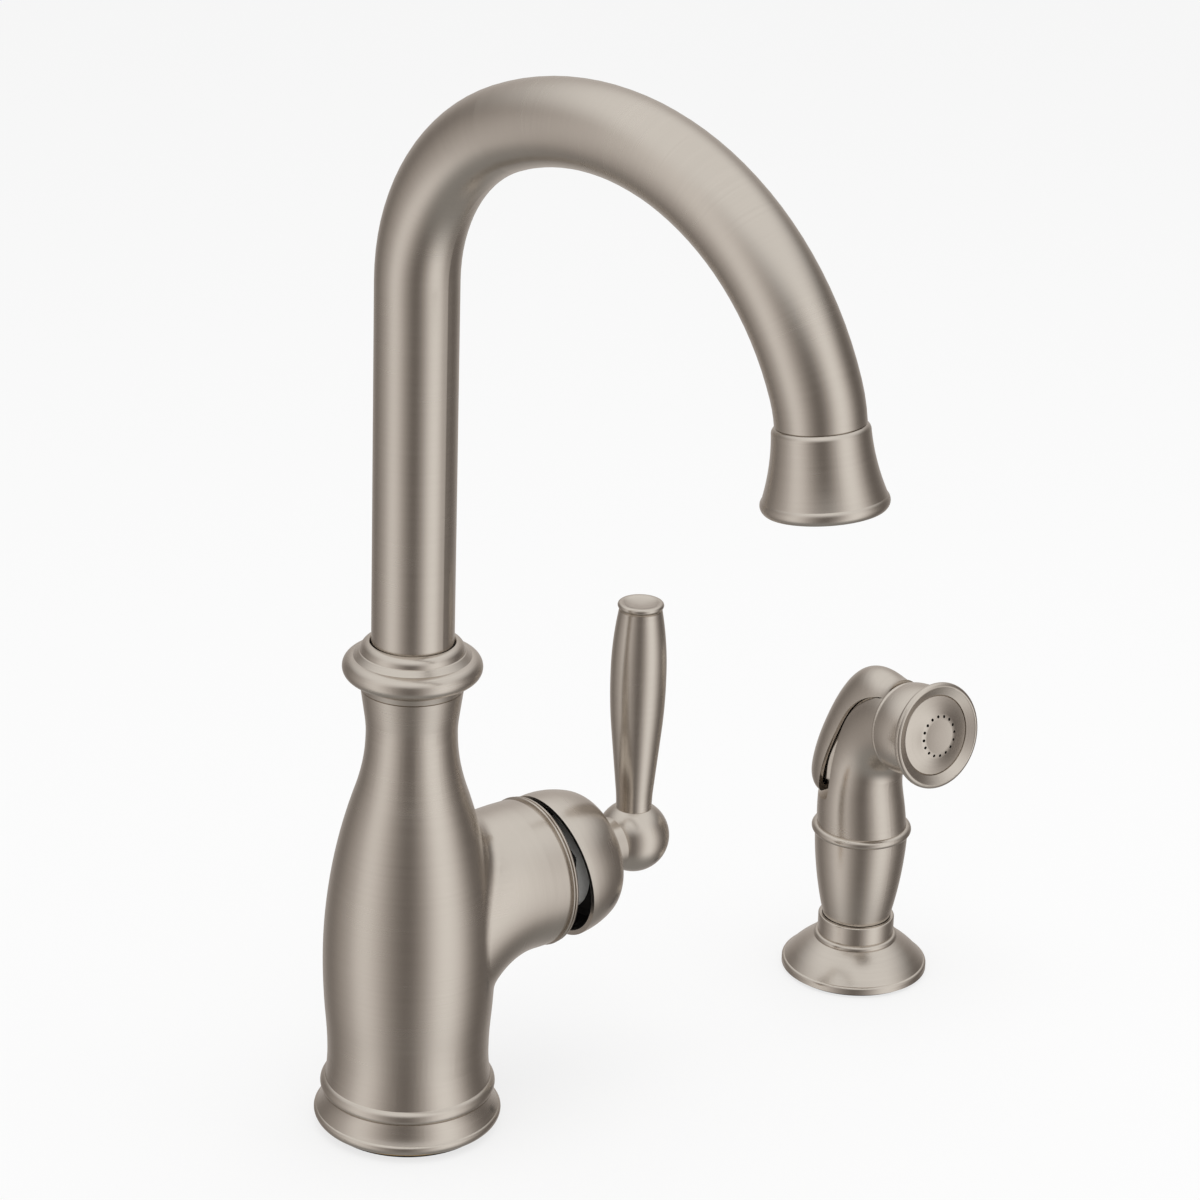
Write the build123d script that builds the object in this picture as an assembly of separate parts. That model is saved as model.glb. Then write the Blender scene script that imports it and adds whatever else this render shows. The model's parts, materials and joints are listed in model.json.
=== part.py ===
from build123d import *
import math
import os

# A single-handle kitchen faucet with a high swivelling spout, and a side sprayer in its own deck holder.
# Millimetres. The origin is on the faucet's axis at the top of the deck, +Z is up, +X runs along the deck
# from the faucet past the handle to the sprayer, and -Y is the front, over the sink.

# ---------------------------------------------------------------- driving dimensions

# deck seat and body
BASE_GASKET_T = 1.6       # rubber under the base ring
BASE_R = 32.2             # base ring
BASE_H = 11.3
BASE_EDGE = 3.2           # its rounded underside
FOOT_R = 30.0             # bead at the foot of the body
FOOT_H = 4.6
WAIST_R = 27.6            # narrowest part above the bead
WAIST_RISE = 27.0
BELLY_R = 29.3            # widest part of the vase
BELLY_RISE = 62.0
NECK_RISE = 146.0         # where the vase has drawn in to the neck
NECK_TOP = 161.8
NECK_FLARE = 1.9          # how much the neck widens up to its ring
SHANK_R = 16.0            # threaded shank through the deck
SHANK_WALL = 2.0
THREAD_RELIEF = 0.4       # shank and guide are this much slimmer above the deck
SHANK_DROP = 55.0         # length below the deck
SHANK_GRIP = 11.1         # length held in the body
HOSE_CHAMBER = 8.0        # room above the shank for the hose ends
SOCKET_R = 4.6            # M10 hose sockets
SOCKET_L = 13.0
SOCKET_PITCH_R = 8.3
WATERWAY_R = 3.2

# side hub and cartridge
HUB_RISE = 80.5
HUB_R = 25.9
HUB_END = 52.4            # reach of the hub's end face
HUB_RIM_W = 4.6           # banded rim at the hub's end
ELBOW_R = 15.9            # inner radius of the sweep under the hub
ELBOW_INSET = 3.3         # how far the sweep starts inside the belly
BLEND_R = 7.0
CARTRIDGE_R = 17.5        # 35 mm cartridge
CARTRIDGE_L = 34.0
CARTRIDGE_WALL = 2.2
FLANGE_R = 19.6
FLANGE_T = 2.2
HUB_MOUTH = 11.4          # depth of the wider, threaded mouth
NUT_R = 20.1
NUT_L = 13.4
DISC_T = 3.5
SPINDLE_R = 12.4
STEM_SIDE = 8.0
STEM_ARM = 20.5           # from the pivot in to the ball that drives the disc
STEM_BALL_R = 2.6
PIVOT_PIN_R = 1.5
PIVOT_OUT = 9.6           # pivot, beyond the hub's end

# handle
CAP_R = 25.8
CAP_DEPTH = 21.9
CAP_WALL = 1.5            # at its rim
CAP_SHOULDER_R = 17.5     # where the dome's round shoulder meets its flatter end
CAP_SHOULDER = 3.0        # how far that is behind the end
CAP_GAP = 6.1             # rim to hub end, on the axis
CAP_TILT = 3.0            # degrees, upward when closed
RIM_RAKE = 5.5            # degrees, further cut on the rim
CAP_HEAD = 9.6            # solid thickness behind the cavity
BALL_R = 12.8
BALL_OUT = 33.4           # ball centre from the pivot
BALL_NECK_R = 9.2
LEVER_L = 74.6            # from the ball's seat to the finial
LEVER_LOW_R = 6.25
LEVER_MAX_R = 9.7
LEVER_TOP_R = 7.5
FINIAL_R = 8.0
FINIAL_H = 2.7
SCREW_R = 2.5

# spout
TUBE_D = 27.5
TUBE_WALL = 1.2
SPOUT_RISE = 302.2        # top of the straight column
SPOUT_R1 = 62.4           # first, tighter part of the arch
SPOUT_TURN1 = 66.5        # degrees
SPOUT_R2 = 94.3           # second, wider part
SPOUT_TURN2 = 159.0
SPOUT_R3 = 43.0           # short, tight last part
SPOUT_TURN = 172.5        # degrees, whole arch
SPOUT_SWING = 10.4        # degrees from the front towards the sprayer
STUB_R = 10.6
STUB_BORE = 8.4
STUB_DROP = 36.0          # below the neck's top
BUSH_WALL = 1.3
NECK_WALL = 3.3
NECK_RING_H = 2.8
COLLAR_H = 13.8
COLLAR_OVER = 9.55        # collar's bead beyond the tube
BELL_L = 26.0
BELL_SHOULDER = 1.0       # beyond the tube
BELL_SPIGOT = 3.0         # length inside the tube, whose bore is bent there
BELL_FIT = 0.15
BELL_RIM_R = 19.3
AERATOR_R = 12.0          # M24 aerator
AERATOR_L = 10.0

# diverter under the spout
DIVERTER_R = 8.4
DIVERTER_L = 19.0
PISTON_R = 5.0

# sprayer holder
HOLDER_X = 203.2          # 8 in deck hole spacing
HOLDER_GASKET_T = 1.0
HOLDER_R = 26.9
HOLDER_EDGE = 1.7
HOLDER_CONE_H = 13.6
COLLAR_R = 14.1
COLLAR_TOP = 21.7
GUIDE_R = 13.1            # plastic hose guide, threaded below the deck
GUIDE_BORE = 9.6
GUIDE_DROP = 45.0

# sprayer
CUP_LOW_R = 12.5
CUP_TOP_R = 17.1
CUP_FLOOR = 12.8          # lowest face of the cup above the deck
CUP_TOP = 55.5
CUP_WALL = 2.2
SOCKET_DEPTH = 9.0        # straight socket in the cup's top
WAIST_RING_R = 18.35
WAIST_RING_H = 3.4
GRIP_R = 16.5             # body at the waist ring
GRIP_DRAW = 1.6           # how much slimmer its bend is
GRIP_BACK = 1.2           # how far the bend starts behind the sprayer's axis
HEAD_TILT = 8.8           # degrees, upward
HEAD_AXIS_RISE = 101.8    # where the nozzle's axis crosses the sprayer's
HEAD_START = 20.35        # along the nozzle's axis to the head ring
HEAD_RING_R = 16.4
HEAD_RING_W = 1.9
DRUM_R = 16.9
SPRAY_RIM_R = 19.4
SPRAY_RIM_OUT = 38.55     # front of the rim
FACE_R = 14.7
FACE_SET_BACK = 1.7       # edge of the face behind the rim
FACE_CROWN = 2.1          # how far its middle stands forward
FACE_T = 2.5
JETS = 16
JET_R = 0.55
JET_PITCH_R = 7.25
COUPLING_R = 8.2
COUPLING_L = 16.3
SPIGOT_R = 6.9
SPIGOT_L = 12.5
HOSE_SOCKET_L = 10.0
HOSE_BORE_R = 3.0

# trigger
TRIGGER_WALL = 1.6
TRIGGER_TOE = 72.6        # height of its lower end
TRIGGER_PRESS = 5.0       # degrees
TRIGGER_PIN_R = 1.25
TRIGGER_PIN_L = 13.0
PIN_FORWARD = 12.5        # from the sprayer's axis
PIN_RISE = 117.2
LUG_W = 6.0
PLUNGER_R = 2.5
PLUNGER_RISE = 89.5
VALVE_FLOOR = 8.0         # forward end of the valve's bore, from the sprayer's axis
BUSH_L = 6.0
SPRING_TURNS = 5.5
SPRING_WIRE_R = 0.4

# fits
RUN = 0.05                # running fit, radial
PRESS = 0.05              # assembled fit, radial
LOOSE = 0.4               # clearance that shows as a dark line

# ---------------------------------------------------------------- derived places

TUBE_R = TUBE_D / 2
TUBE_BORE = TUBE_R - TUBE_WALL
NECK_BORE = STUB_R + RUN + BUSH_WALL + PRESS
NECK_R = NECK_BORE + NECK_WALL
BODY_BASE = BASE_GASKET_T + BASE_H
SHANK_TOP = BODY_BASE + SHANK_GRIP
CHAMBER_TOP = SHANK_TOP + HOSE_CHAMBER
RING_TOP = NECK_TOP + NECK_RING_H
COLLAR_BASE = RING_TOP
TUBE_BASE = RING_TOP + 2.0
STUB_BASE = NECK_TOP - STUB_DROP
BORE_FLOOR = STUB_BASE - 1.0
DIVERTER_BASE = BORE_FLOOR - DIVERTER_L
PIVOT_X = HUB_END + PIVOT_OUT
MOUTH_FLOOR = HUB_END - HUB_MOUTH
CARTRIDGE_END = PIVOT_X + 2.0
CARTRIDGE_BASE = CARTRIDGE_END - CARTRIDGE_L
SEAL_T = 2.0
SEAT_X = CARTRIDGE_BASE - SEAL_T
DISC_BASE = CARTRIDGE_BASE + 3.6
MIX_BASE = DISC_BASE + DISC_T + 0.1
SPINDLE_BASE = PIVOT_X - 18.5
RIM_S = HUB_END + CAP_GAP - PIVOT_X
CAP_END_S = RIM_S + CAP_DEPTH
CAP_FLOOR_S = CAP_END_S - CAP_HEAD
GUIDE_COLLAR_BORE = GUIDE_R - THREAD_RELIEF + PRESS
SPRAY_WAIST = CUP_TOP + WAIST_RING_H
HEAD_SIN, HEAD_COS = math.sin(math.radians(HEAD_TILT)), math.cos(math.radians(HEAD_TILT))
GRIP_BEND_R = (HEAD_START * HEAD_COS + GRIP_BACK) / (1 - HEAD_SIN)
GRIP_BEND_RISE = HEAD_AXIS_RISE + HEAD_START * HEAD_SIN - GRIP_BEND_R * HEAD_COS
GRIP_NECK_R = GRIP_R - GRIP_DRAW
PIN_AT = (PIN_FORWARD, PIN_RISE)
EAR_R = TRIGGER_PIN_R + 1.1
PLUNGER_BACK = 1.0 - GRIP_R      # its head touches the inside of the paddle
BUSH_START = VALVE_FLOOR - 14.0
RING_END = HEAD_START + HEAD_RING_W


# ---------------------------------------------------------------- shared helpers

def turned(edges):
    """Solid of revolution about Z from a closed outline drawn as (radius, height)."""
    return revolve(Plane.XZ * make_face(edges), Axis.Z)


def outline(*points):
    """Straight edges through the points in turn."""
    return [Line(a, b) for a, b in zip(points, points[1:])]


def ogee(start, end, share):
    """Two tangent arcs, upright at both ends, that meet at a share of the way."""
    middle = (start[0] + (end[0] - start[0]) * share, start[1] + (end[1] - start[1]) * share)
    first = TangentArc(start, middle, tangent=(0, 1))
    return [first, TangentArc(middle, end, tangent=first % 1)]


def crown(radius, edge, top):
    """Arc from (radius, edge) to the axis at the height top, square to the axis there."""
    rise = top - edge
    sphere_r = (radius ** 2 + rise ** 2) / (2 * rise)
    half = top - sphere_r + math.copysign(math.sqrt(sphere_r ** 2 - radius ** 2 / 4), sphere_r)
    return ThreePointArc((radius, edge), (radius / 2, half), (0, top))


def half_round(low, high, out):
    """Half-round bead from low to high that reaches out to a radius."""
    root = out - (high - low) / 2
    return ThreePointArc((root, low), (out, (low + high) / 2), (root, high))


def rod(radius, length):
    """Cylinder on the XY plane."""
    return Cylinder(radius, length, align=(Align.CENTER, Align.CENTER, Align.MIN))


def tube(outer, inner, length):
    return rod(outer, length) - rod(inner, length)


def block(x, y, z):
    return Box(x, y, z, align=(Align.CENTER, Align.CENTER, Align.MIN))


def along_hub(x):
    """Place on the hub's axis, with the part's own Z along +X."""
    return Pos(x, 0, HUB_RISE) * Rot(0, 90, 0)


def on_cap(s):
    """Place on the handle's tilted axis, s from the pivot."""
    return Pos(PIVOT_X, 0, HUB_RISE) * Rot(0, 90 - CAP_TILT, 0) * Pos(0, 0, s)


def at_spout(shape):
    """Turn a shape modelled in the XZ plane to the spout's direction."""
    return Rot(0, 0, SPOUT_SWING - 90) * shape


def at_holder(shape):
    return Pos(HOLDER_X, 0, 0) * shape


def at_sprayer(shape):
    """Sprayer parts are modelled facing +X about their own axis, and face the front."""
    return Pos(HOLDER_X, 0, 0) * Rot(0, 0, -90) * shape


def three_ports(radius, length, pitch):
    """Three holes in a triangle, as in the cartridge's base and discs."""
    return Compound([loc * rod(radius, length) for loc in PolarLocations(pitch, 3)])


# ---------------------------------------------------------------- body and base

def base_gasket():
    return tube(BASE_R - BASE_EDGE - 1.0, SHANK_R + LOOSE, BASE_GASKET_T)


def base_ring():
    """Escutcheon with a rounded underside, an upright edge and a cove."""
    low, top = BASE_GASKET_T, BODY_BASE
    shoulder = low + BASE_EDGE
    neck = FOOT_R - 0.5
    under = ThreePointArc((BASE_R - BASE_EDGE, low), (BASE_R - 0.9, low + 0.95), (BASE_R, shoulder))
    edge = TangentArc((BASE_R, shoulder), (BASE_R - 0.8, shoulder + 1.2), tangent=(0, 1))
    cove = ThreePointArc((BASE_R - 0.8, shoulder + 1.2), (neck + 0.55, shoulder + 3.9), (neck, top))
    bore = SHANK_R + LOOSE
    sides = outline((neck, top), (bore, top), (bore, low), (BASE_R - BASE_EDGE, low))
    return turned([under, edge, cove, *sides])


def vase():
    """Outer form of the body without its hub."""
    foot_top = BODY_BASE + FOOT_H
    foot_root = WAIST_R + 0.8
    bead = ThreePointArc((FOOT_R - 0.7, BODY_BASE), (FOOT_R, BODY_BASE + 1.5), (foot_root, foot_top))
    flank = TangentArc((WAIST_R, WAIST_RISE), (foot_root, foot_top), tangent=(0, -1))
    belly = ogee((WAIST_R, WAIST_RISE), (BELLY_R, BELLY_RISE), 0.35)
    throat = ogee((BELLY_R, BELLY_RISE), (NECK_R, NECK_RISE), 0.75)
    opening = TangentArc((NECK_R, NECK_RISE), (NECK_R + 0.35, NECK_RISE + 5.0), tangent=(0, 1))
    inside = outline(
        opening @ 1,
        (NECK_R + NECK_FLARE, NECK_TOP),
        (0, NECK_TOP),
        (0, BODY_BASE),
        (FOOT_R - 0.7, BODY_BASE),
    )
    return turned([bead, flank, *belly, *throat, opening, *inside])


def hub_sweep():
    """The hub grows out of the vase as an elbow, which gives the deep curve below it."""
    spine_r = ELBOW_R + HUB_R
    centre = BELLY_R - ELBOW_INSET + ELBOW_R
    bend = JernArc(start=(centre - spine_r, HUB_RISE - spine_r), tangent=(0, 1), radius=spine_r, arc_size=-90)
    spine = Plane.XZ * (bend + Line((centre, HUB_RISE), (HUB_END - HUB_RIM_W, HUB_RISE)))
    return sweep(Plane(origin=spine @ 0, z_dir=spine % 0) * Circle(HUB_R), spine)


def hub_rim():
    """End of the hub: a groove, a fine bead and a band with a rounded edge."""
    start = HUB_END - HUB_RIM_W
    groove, fine, band = HUB_R - 0.8, HUB_R - 0.3, HUB_R + 0.2
    steps = outline((0, start), (HUB_R, start), (groove, start + 0.2), (groove, start + 1.8), (band, start + 2.0))
    bead = ThreePointArc((band, start + 2.0), (band + 0.2, start + 2.4), (band, start + 2.8))
    line = outline((band, start + 2.8), (fine, start + 2.95), (fine, start + 3.15), (band, start + 3.3))
    nose = ThreePointArc((band, HUB_END - 1.0), (band - 0.3, HUB_END - 0.3), (band - 1.0, HUB_END))
    close = outline((band - 1.0, HUB_END), (0, HUB_END), (0, start))
    rim = [*steps, bead, *line, Line((band, start + 3.3), (band, HUB_END - 1.0)), nose, *close]
    return along_hub(0) * turned(rim)


def faucet_body():
    shell = vase()
    arm = hub_sweep()
    body = shell + arm
    body = body.fillet(BLEND_R, new_edges(shell, arm, combined=body))
    body += hub_rim()
    body -= Pos(0, 0, BODY_BASE) * rod(SHANK_R - THREAD_RELIEF + PRESS, SHANK_GRIP)
    body -= Pos(0, 0, SHANK_TOP) * rod(SHANK_R - SHANK_WALL, HOSE_CHAMBER)
    for x, y in sockets():
        body -= Pos(x, y, CHAMBER_TOP) * rod(SOCKET_R, SOCKET_L)
        body -= Pos(x, y, CHAMBER_TOP + SOCKET_L) * rod(WATERWAY_R, HUB_RISE - CHAMBER_TOP - SOCKET_L)
    body -= along_hub(SEAT_X) * rod(CARTRIDGE_R + 2 * PRESS, HUB_END)
    body -= along_hub(MOUTH_FLOOR) * rod(NUT_R + PRESS, HUB_END)
    body -= Pos(0, 0, BORE_FLOOR) * rod(NECK_BORE, NECK_TOP)
    body -= Pos(0, 0, DIVERTER_BASE) * rod(DIVERTER_R + PRESS, DIVERTER_L)
    body -= Pos(0, 0, HUB_RISE) * rod(PISTON_R, DIVERTER_BASE - HUB_RISE)
    body -= along_hub(0) * rod(WATERWAY_R, SEAT_X)
    return body


def sockets():
    """Places of the hot, cold and spray hose sockets."""
    return [polar(SOCKET_PITCH_R, a) for a in (210, 330, 90)]


def polar(radius, degrees):
    return radius * math.cos(math.radians(degrees)), radius * math.sin(math.radians(degrees))


def mounting_shank():
    """Threaded up to just below the deck's top, and slimmer above."""
    bore = SHANK_R - SHANK_WALL
    shank = tube(SHANK_R - THREAD_RELIEF, bore, SHANK_DROP + SHANK_TOP)
    shank += tube(SHANK_R, bore, SHANK_DROP - 1.0)
    return Pos(0, 0, -SHANK_DROP) * shank


# ---------------------------------------------------------------- cartridge

def cartridge_seal():
    seal = rod(CARTRIDGE_R - 1.5, SEAL_T) - three_ports(3.0, SEAL_T, 8.0)
    return along_hub(SEAT_X) * seal


def cartridge_housing():
    """Cup with a flange that the nut clamps, and a narrower collar at its mouth."""
    bore = CARTRIDGE_R - CARTRIDGE_WALL
    flange = MOUTH_FLOOR - CARTRIDGE_BASE
    shape = rod(CARTRIDGE_R, flange)
    shape += Pos(0, 0, flange) * rod(FLANGE_R, FLANGE_T)
    shape += Pos(0, 0, flange + FLANGE_T) * rod(CARTRIDGE_R - 1.1, CARTRIDGE_L - flange - FLANGE_T)
    floor = DISC_BASE - CARTRIDGE_BASE
    shape -= Pos(0, 0, floor) * rod(bore, CARTRIDGE_L - floor - 4.0)
    shape -= rod(SPINDLE_R + 2 * RUN, CARTRIDGE_L) - rod(CARTRIDGE_R, floor)
    shape -= three_ports(2.8, floor, 8.0)
    return along_hub(CARTRIDGE_BASE) * shape


def fixed_disc():
    disc = rod(CARTRIDGE_R - CARTRIDGE_WALL - RUN, DISC_T) - three_ports(2.6, DISC_T, 8.0)
    return along_hub(DISC_BASE) * disc


def mixing_disc():
    """It rests where the closed stem holds it, off the axis."""
    radius = CARTRIDGE_R - CARTRIDGE_WALL - 3.8
    disc = rod(radius, DISC_T)
    disc -= Pos(0, 0, 0.9) * rod(STEM_BALL_R + 0.45, DISC_T)
    drop = STEM_ARM * math.sin(math.radians(CAP_TILT))
    return Pos(0, 0, -drop) * along_hub(MIX_BASE) * disc


def cartridge_nut():
    """Threaded ring with a hexagon head that stands out of the hub under the cap."""
    thread = HUB_MOUTH - FLANGE_T
    head = NUT_L - thread
    shape = rod(NUT_R, thread)
    hexagon = extrude(RegularPolygon(NUT_R + 0.7, 6), head)
    shape += Pos(0, 0, thread) * hexagon
    shape -= rod(CARTRIDGE_R - 1.1 + 3 * PRESS, NUT_L)
    return along_hub(MOUTH_FLOOR + FLANGE_T) * shape


def cartridge_spindle():
    """Turns in the housing for temperature, and carries the stem on its pin."""
    collar = CARTRIDGE_END - 4.0 - SPINDLE_BASE
    shape = rod(CARTRIDGE_R - CARTRIDGE_WALL - RUN, collar - 0.2)
    shape += rod(SPINDLE_R, PIVOT_X + 5.6 - SPINDLE_BASE)
    shape -= Box(2 * (STEM_SIDE - 0.2), STEM_SIDE + 2 * RUN + 0.1, 80)
    shape = along_hub(SPINDLE_BASE) * shape
    return shape - pivot_hole(PIVOT_PIN_R + 0.01)


def pivot_hole(radius):
    return Pos(PIVOT_X, 0, HUB_RISE) * Rot(90, 0, 0) * Cylinder(radius, 2 * SPINDLE_R + 2)


def stem_pivot_pin():
    return Pos(PIVOT_X, 0, HUB_RISE) * Rot(90, 0, 0) * Cylinder(PIVOT_PIN_R, 2 * SPINDLE_R - 2)


def cartridge_stem():
    """Square stem through the spindle, with a ball in the mixing disc and its end in the cap."""
    shaft_from = SPINDLE_BASE - PIVOT_X + 1.0
    shaft_to = CAP_FLOOR_S + CAP_HEAD - 3.2
    shaft = on_cap(shaft_from) * block(STEM_SIDE, STEM_SIDE, shaft_to - shaft_from)
    neck = on_cap(-STEM_ARM) * rod(1.8, shaft_from + STEM_ARM)
    ball = on_cap(-STEM_ARM) * Sphere(STEM_BALL_R)
    return shaft + neck + ball - pivot_hole(PIVOT_PIN_R + RUN)


# ---------------------------------------------------------------- handle

def handle_cap():
    """Dome over the cartridge. Its rim is cut on a rake, which leaves room for the lift."""
    early = RIM_S - 3.0
    shoulder = (CAP_SHOULDER_R, CAP_END_S - CAP_SHOULDER)
    side = ThreePointArc((CAP_R - 0.1, early), (CAP_R - 0.4, RIM_S + 6.5), (CAP_R - 2.5, RIM_S + 13.3))
    turn = TangentArc(side @ 1, shoulder, tangent=side % 1)
    end = crown(*shoulder, CAP_END_S)
    cap = turned([side, turn, end, *outline((0, CAP_END_S), (0, early), (CAP_R - 0.1, early))])
    bore = CAP_R - 0.1 - CAP_WALL
    inside = ThreePointArc((bore, early), (bore - 0.5, RIM_S + 5.0), (bore - 2.6, CAP_FLOOR_S - 1.2))
    floor = outline((bore - 2.6, CAP_FLOOR_S - 1.2), (bore - 4.4, CAP_FLOOR_S), (0, CAP_FLOOR_S))
    cap -= turned([inside, *floor, *outline((0, CAP_FLOOR_S), (0, early), (bore, early))])
    waste = Box(4 * CAP_R, 4 * CAP_R, 40, align=(Align.CENTER, Align.CENTER, Align.MAX))
    cap -= Pos(0, 0, RIM_S) * Rot(0, -RIM_RAKE, 0) * waste
    socket = STEM_SIDE + 2 * PRESS
    cap -= Pos(0, 0, CAP_FLOOR_S - 1) * block(socket, socket, CAP_HEAD - 1.9)
    cap = on_cap(0) * cap
    return cap - screw_hole(SCREW_R + PRESS)


def screw_hole(radius):
    """From the underside of the cap in to the stem."""
    return on_cap(screw_s()) * Pos(STEM_SIDE / 2, 0, 0) * Rot(0, 90, 0) * rod(radius, CAP_R)


def screw_s():
    return CAP_FLOOR_S + CAP_HEAD * 0.42


def handle_set_screw():
    """Grub screw with a hexagon socket, tight on the stem's flat."""
    length = 8.0
    screw = rod(SCREW_R, length)
    screw -= Pos(0, 0, length - 2.5) * extrude(RegularPolygon(1.4, 6), 2.5)
    return on_cap(screw_s()) * Pos(STEM_SIDE / 2, 0, 0) * Rot(0, 90, 0) * screw


def ball_centre():
    return on_cap(BALL_OUT).position


def handle_ball():
    """Ball on a short neck that is fixed to the cap, with a seat for the lever."""
    seat = CAP_END_S + 0.02
    neck = on_cap(seat - 1.2) * rod(BALL_NECK_R, BALL_OUT - seat + 1.2)
    ball = Pos(*ball_centre()) * Sphere(BALL_R)
    flat = on_cap(seat) * rod(BALL_R, BALL_OUT - BALL_R * 0.72 - seat)
    shape = ball - flat + neck
    crown_r = (CAP_SHOULDER_R ** 2 + CAP_SHOULDER ** 2) / (2 * CAP_SHOULDER)
    shape -= on_cap(seat - crown_r) * Sphere(crown_r)
    centre = ball_centre()
    shape -= Pos(centre.X, 0, lever_base()) * rod(2 * BALL_R, BALL_R)
    return shape - Pos(centre.X, 0, centre.Z - 2.0) * rod(3.0 + PRESS, 2 * BALL_R)


def lever_base():
    """Height of the seat that the lever stands on, cut across the ball's top."""
    foot = LEVER_LOW_R + 0.15
    return ball_centre().Z + math.sqrt(BALL_R ** 2 - foot ** 2)


def lever_grip():
    """Straight taper from the ball, a long swell and a quick draw-in below the finial."""
    low = lever_base()
    top = low + LEVER_L
    foot = TangentArc((LEVER_LOW_R, low), (LEVER_LOW_R + 0.2, low + 5.5), tangent=(0, 1))
    taper = Line(foot @ 1, (LEVER_MAX_R - 0.95, low + LEVER_L * 0.39))
    swell = TangentArc(taper @ 1, (LEVER_MAX_R, low + LEVER_L * 0.68), tangent=taper % 1)
    draw_in = TangentArc(swell @ 1, (LEVER_TOP_R, top), tangent=(0, 1))
    core = outline((LEVER_TOP_R, top), (0, top), (0, low), (LEVER_LOW_R, low))
    grip = turned([foot, taper, swell, draw_in, *core])
    stud = Pos(0, 0, low - 8.5) * rod(3.0, 9.0)
    thread = Pos(0, 0, top - 8.0) * rod(2.5 + PRESS, 8.0)
    return Pos(ball_centre().X, 0, 0) * (grip + stud - thread)


def lever_finial():
    """Flat round cap at the lever's top: a narrow groove, a rolled edge and a dished crown."""
    low = lever_base() + LEVER_L
    top = low + FINIAL_H
    groove = LEVER_TOP_R - 0.4
    root = (FINIAL_R - 0.7, low + 0.7)
    edge = ThreePointArc(root, (FINIAL_R, low + 1.5), (FINIAL_R - 0.9, top))
    dish = crown(FINIAL_R - 1.7, top, top - 0.5)
    sides = outline((groove, low), (groove, low + 0.4), root)
    close = outline((FINIAL_R - 0.9, top), (FINIAL_R - 1.7, top))
    core = outline((0, top - 0.5), (0, low), (groove, low))
    cap = turned([*sides, edge, *close, dish, *core])
    return Pos(ball_centre().X, 0, 0) * (cap + Pos(0, 0, low - 6.0) * rod(2.5, 6.5))


# ---------------------------------------------------------------- spout

def spout_spine():
    """Straight column, then three tangent arcs, in the XZ plane."""
    rise = Line((0, TUBE_BASE), (0, SPOUT_RISE))
    first = JernArc(start=rise @ 1, tangent=rise % 1, radius=SPOUT_R1, arc_size=-SPOUT_TURN1)
    wide = SPOUT_TURN2 - SPOUT_TURN1
    second = JernArc(start=first @ 1, tangent=first % 1, radius=SPOUT_R2, arc_size=-wide)
    rest = SPOUT_TURN - SPOUT_TURN2
    third = JernArc(start=second @ 1, tangent=second % 1, radius=SPOUT_R3, arc_size=-rest)
    return Plane.XZ * (rise + first + second + third)


def spout_tube():
    spine = spout_spine()
    section = Circle(TUBE_R) - Circle(TUBE_BORE)
    return at_spout(sweep(Plane(origin=spine @ 0, z_dir=spine % 0) * section, spine))


def at_outlet(shape):
    """Place on the tube's open end, with the part's own Z along the stream."""
    spine = spout_spine()
    return at_spout(Plane(origin=spine @ 1, z_dir=spine % 1) * shape)


def spout_stub():
    """Brass end of the spout: a spigot in the tube, a flange and a grooved shaft in the neck."""
    shape = Pos(0, 0, STUB_BASE) * rod(STUB_R, TUBE_BASE - STUB_BASE)
    shape += Pos(0, 0, RING_TOP + 0.1) * rod(TUBE_R, TUBE_BASE - RING_TOP - 0.1)
    shape += Pos(0, 0, TUBE_BASE) * rod(TUBE_BORE - PRESS, 11.0)
    for z in o_ring_heights():
        shape -= Pos(0, 0, z - 1.1) * tube(STUB_R + 1, STUB_R - 0.75, 2.2)
    shape -= Pos(0, 0, clip_height()) * tube(STUB_R + 1, STUB_R - 0.8, 1.2)
    return at_spout(shape - Pos(0, 0, STUB_BASE) * rod(STUB_BORE, 100))


def o_ring_heights():
    return STUB_BASE + 15.0, STUB_BASE + 19.5


def clip_height():
    return NECK_TOP - 14.0


def spout_o_rings():
    minor = (NECK_BORE - STUB_R + 0.75) / 2 - 0.05
    rings = [Pos(0, 0, z) * Torus(NECK_BORE - 0.05 - minor, minor) for z in o_ring_heights()]
    return at_spout(Compound(rings))


def spout_retaining_clip():
    clip = tube(NECK_BORE - 0.3, STUB_R - 0.7, 1.0) - Pos(STUB_R, 0, 0) * block(12, 6, 2)
    return at_spout(Pos(0, 0, clip_height() + 0.1) * clip)


def lower_spout_bushing():
    return Pos(0, 0, BORE_FLOOR) * tube(NECK_BORE - PRESS, STUB_R + RUN, 11.0)


def upper_spout_bushing():
    low = clip_height() + 1.6
    return Pos(0, 0, low) * tube(NECK_BORE - PRESS, STUB_R + RUN, NECK_TOP - low)


def neck_ring():
    """Thin widening ring between two fine lines."""
    bore = STUB_R + RUN + 0.3
    wide = NECK_R + NECK_FLARE
    foot = outline((bore, 0), (wide - 0.3, 0), (wide + 0.15, 0.45))
    side = outline((wide + 0.15, 0.45), (wide + 0.65, NECK_RING_H - 0.45), (wide + 0.25, NECK_RING_H))
    top = outline((wide + 0.25, NECK_RING_H), (bore, NECK_RING_H), (bore, 0))
    return Pos(0, 0, NECK_TOP) * turned([*foot, *side, *top])


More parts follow.
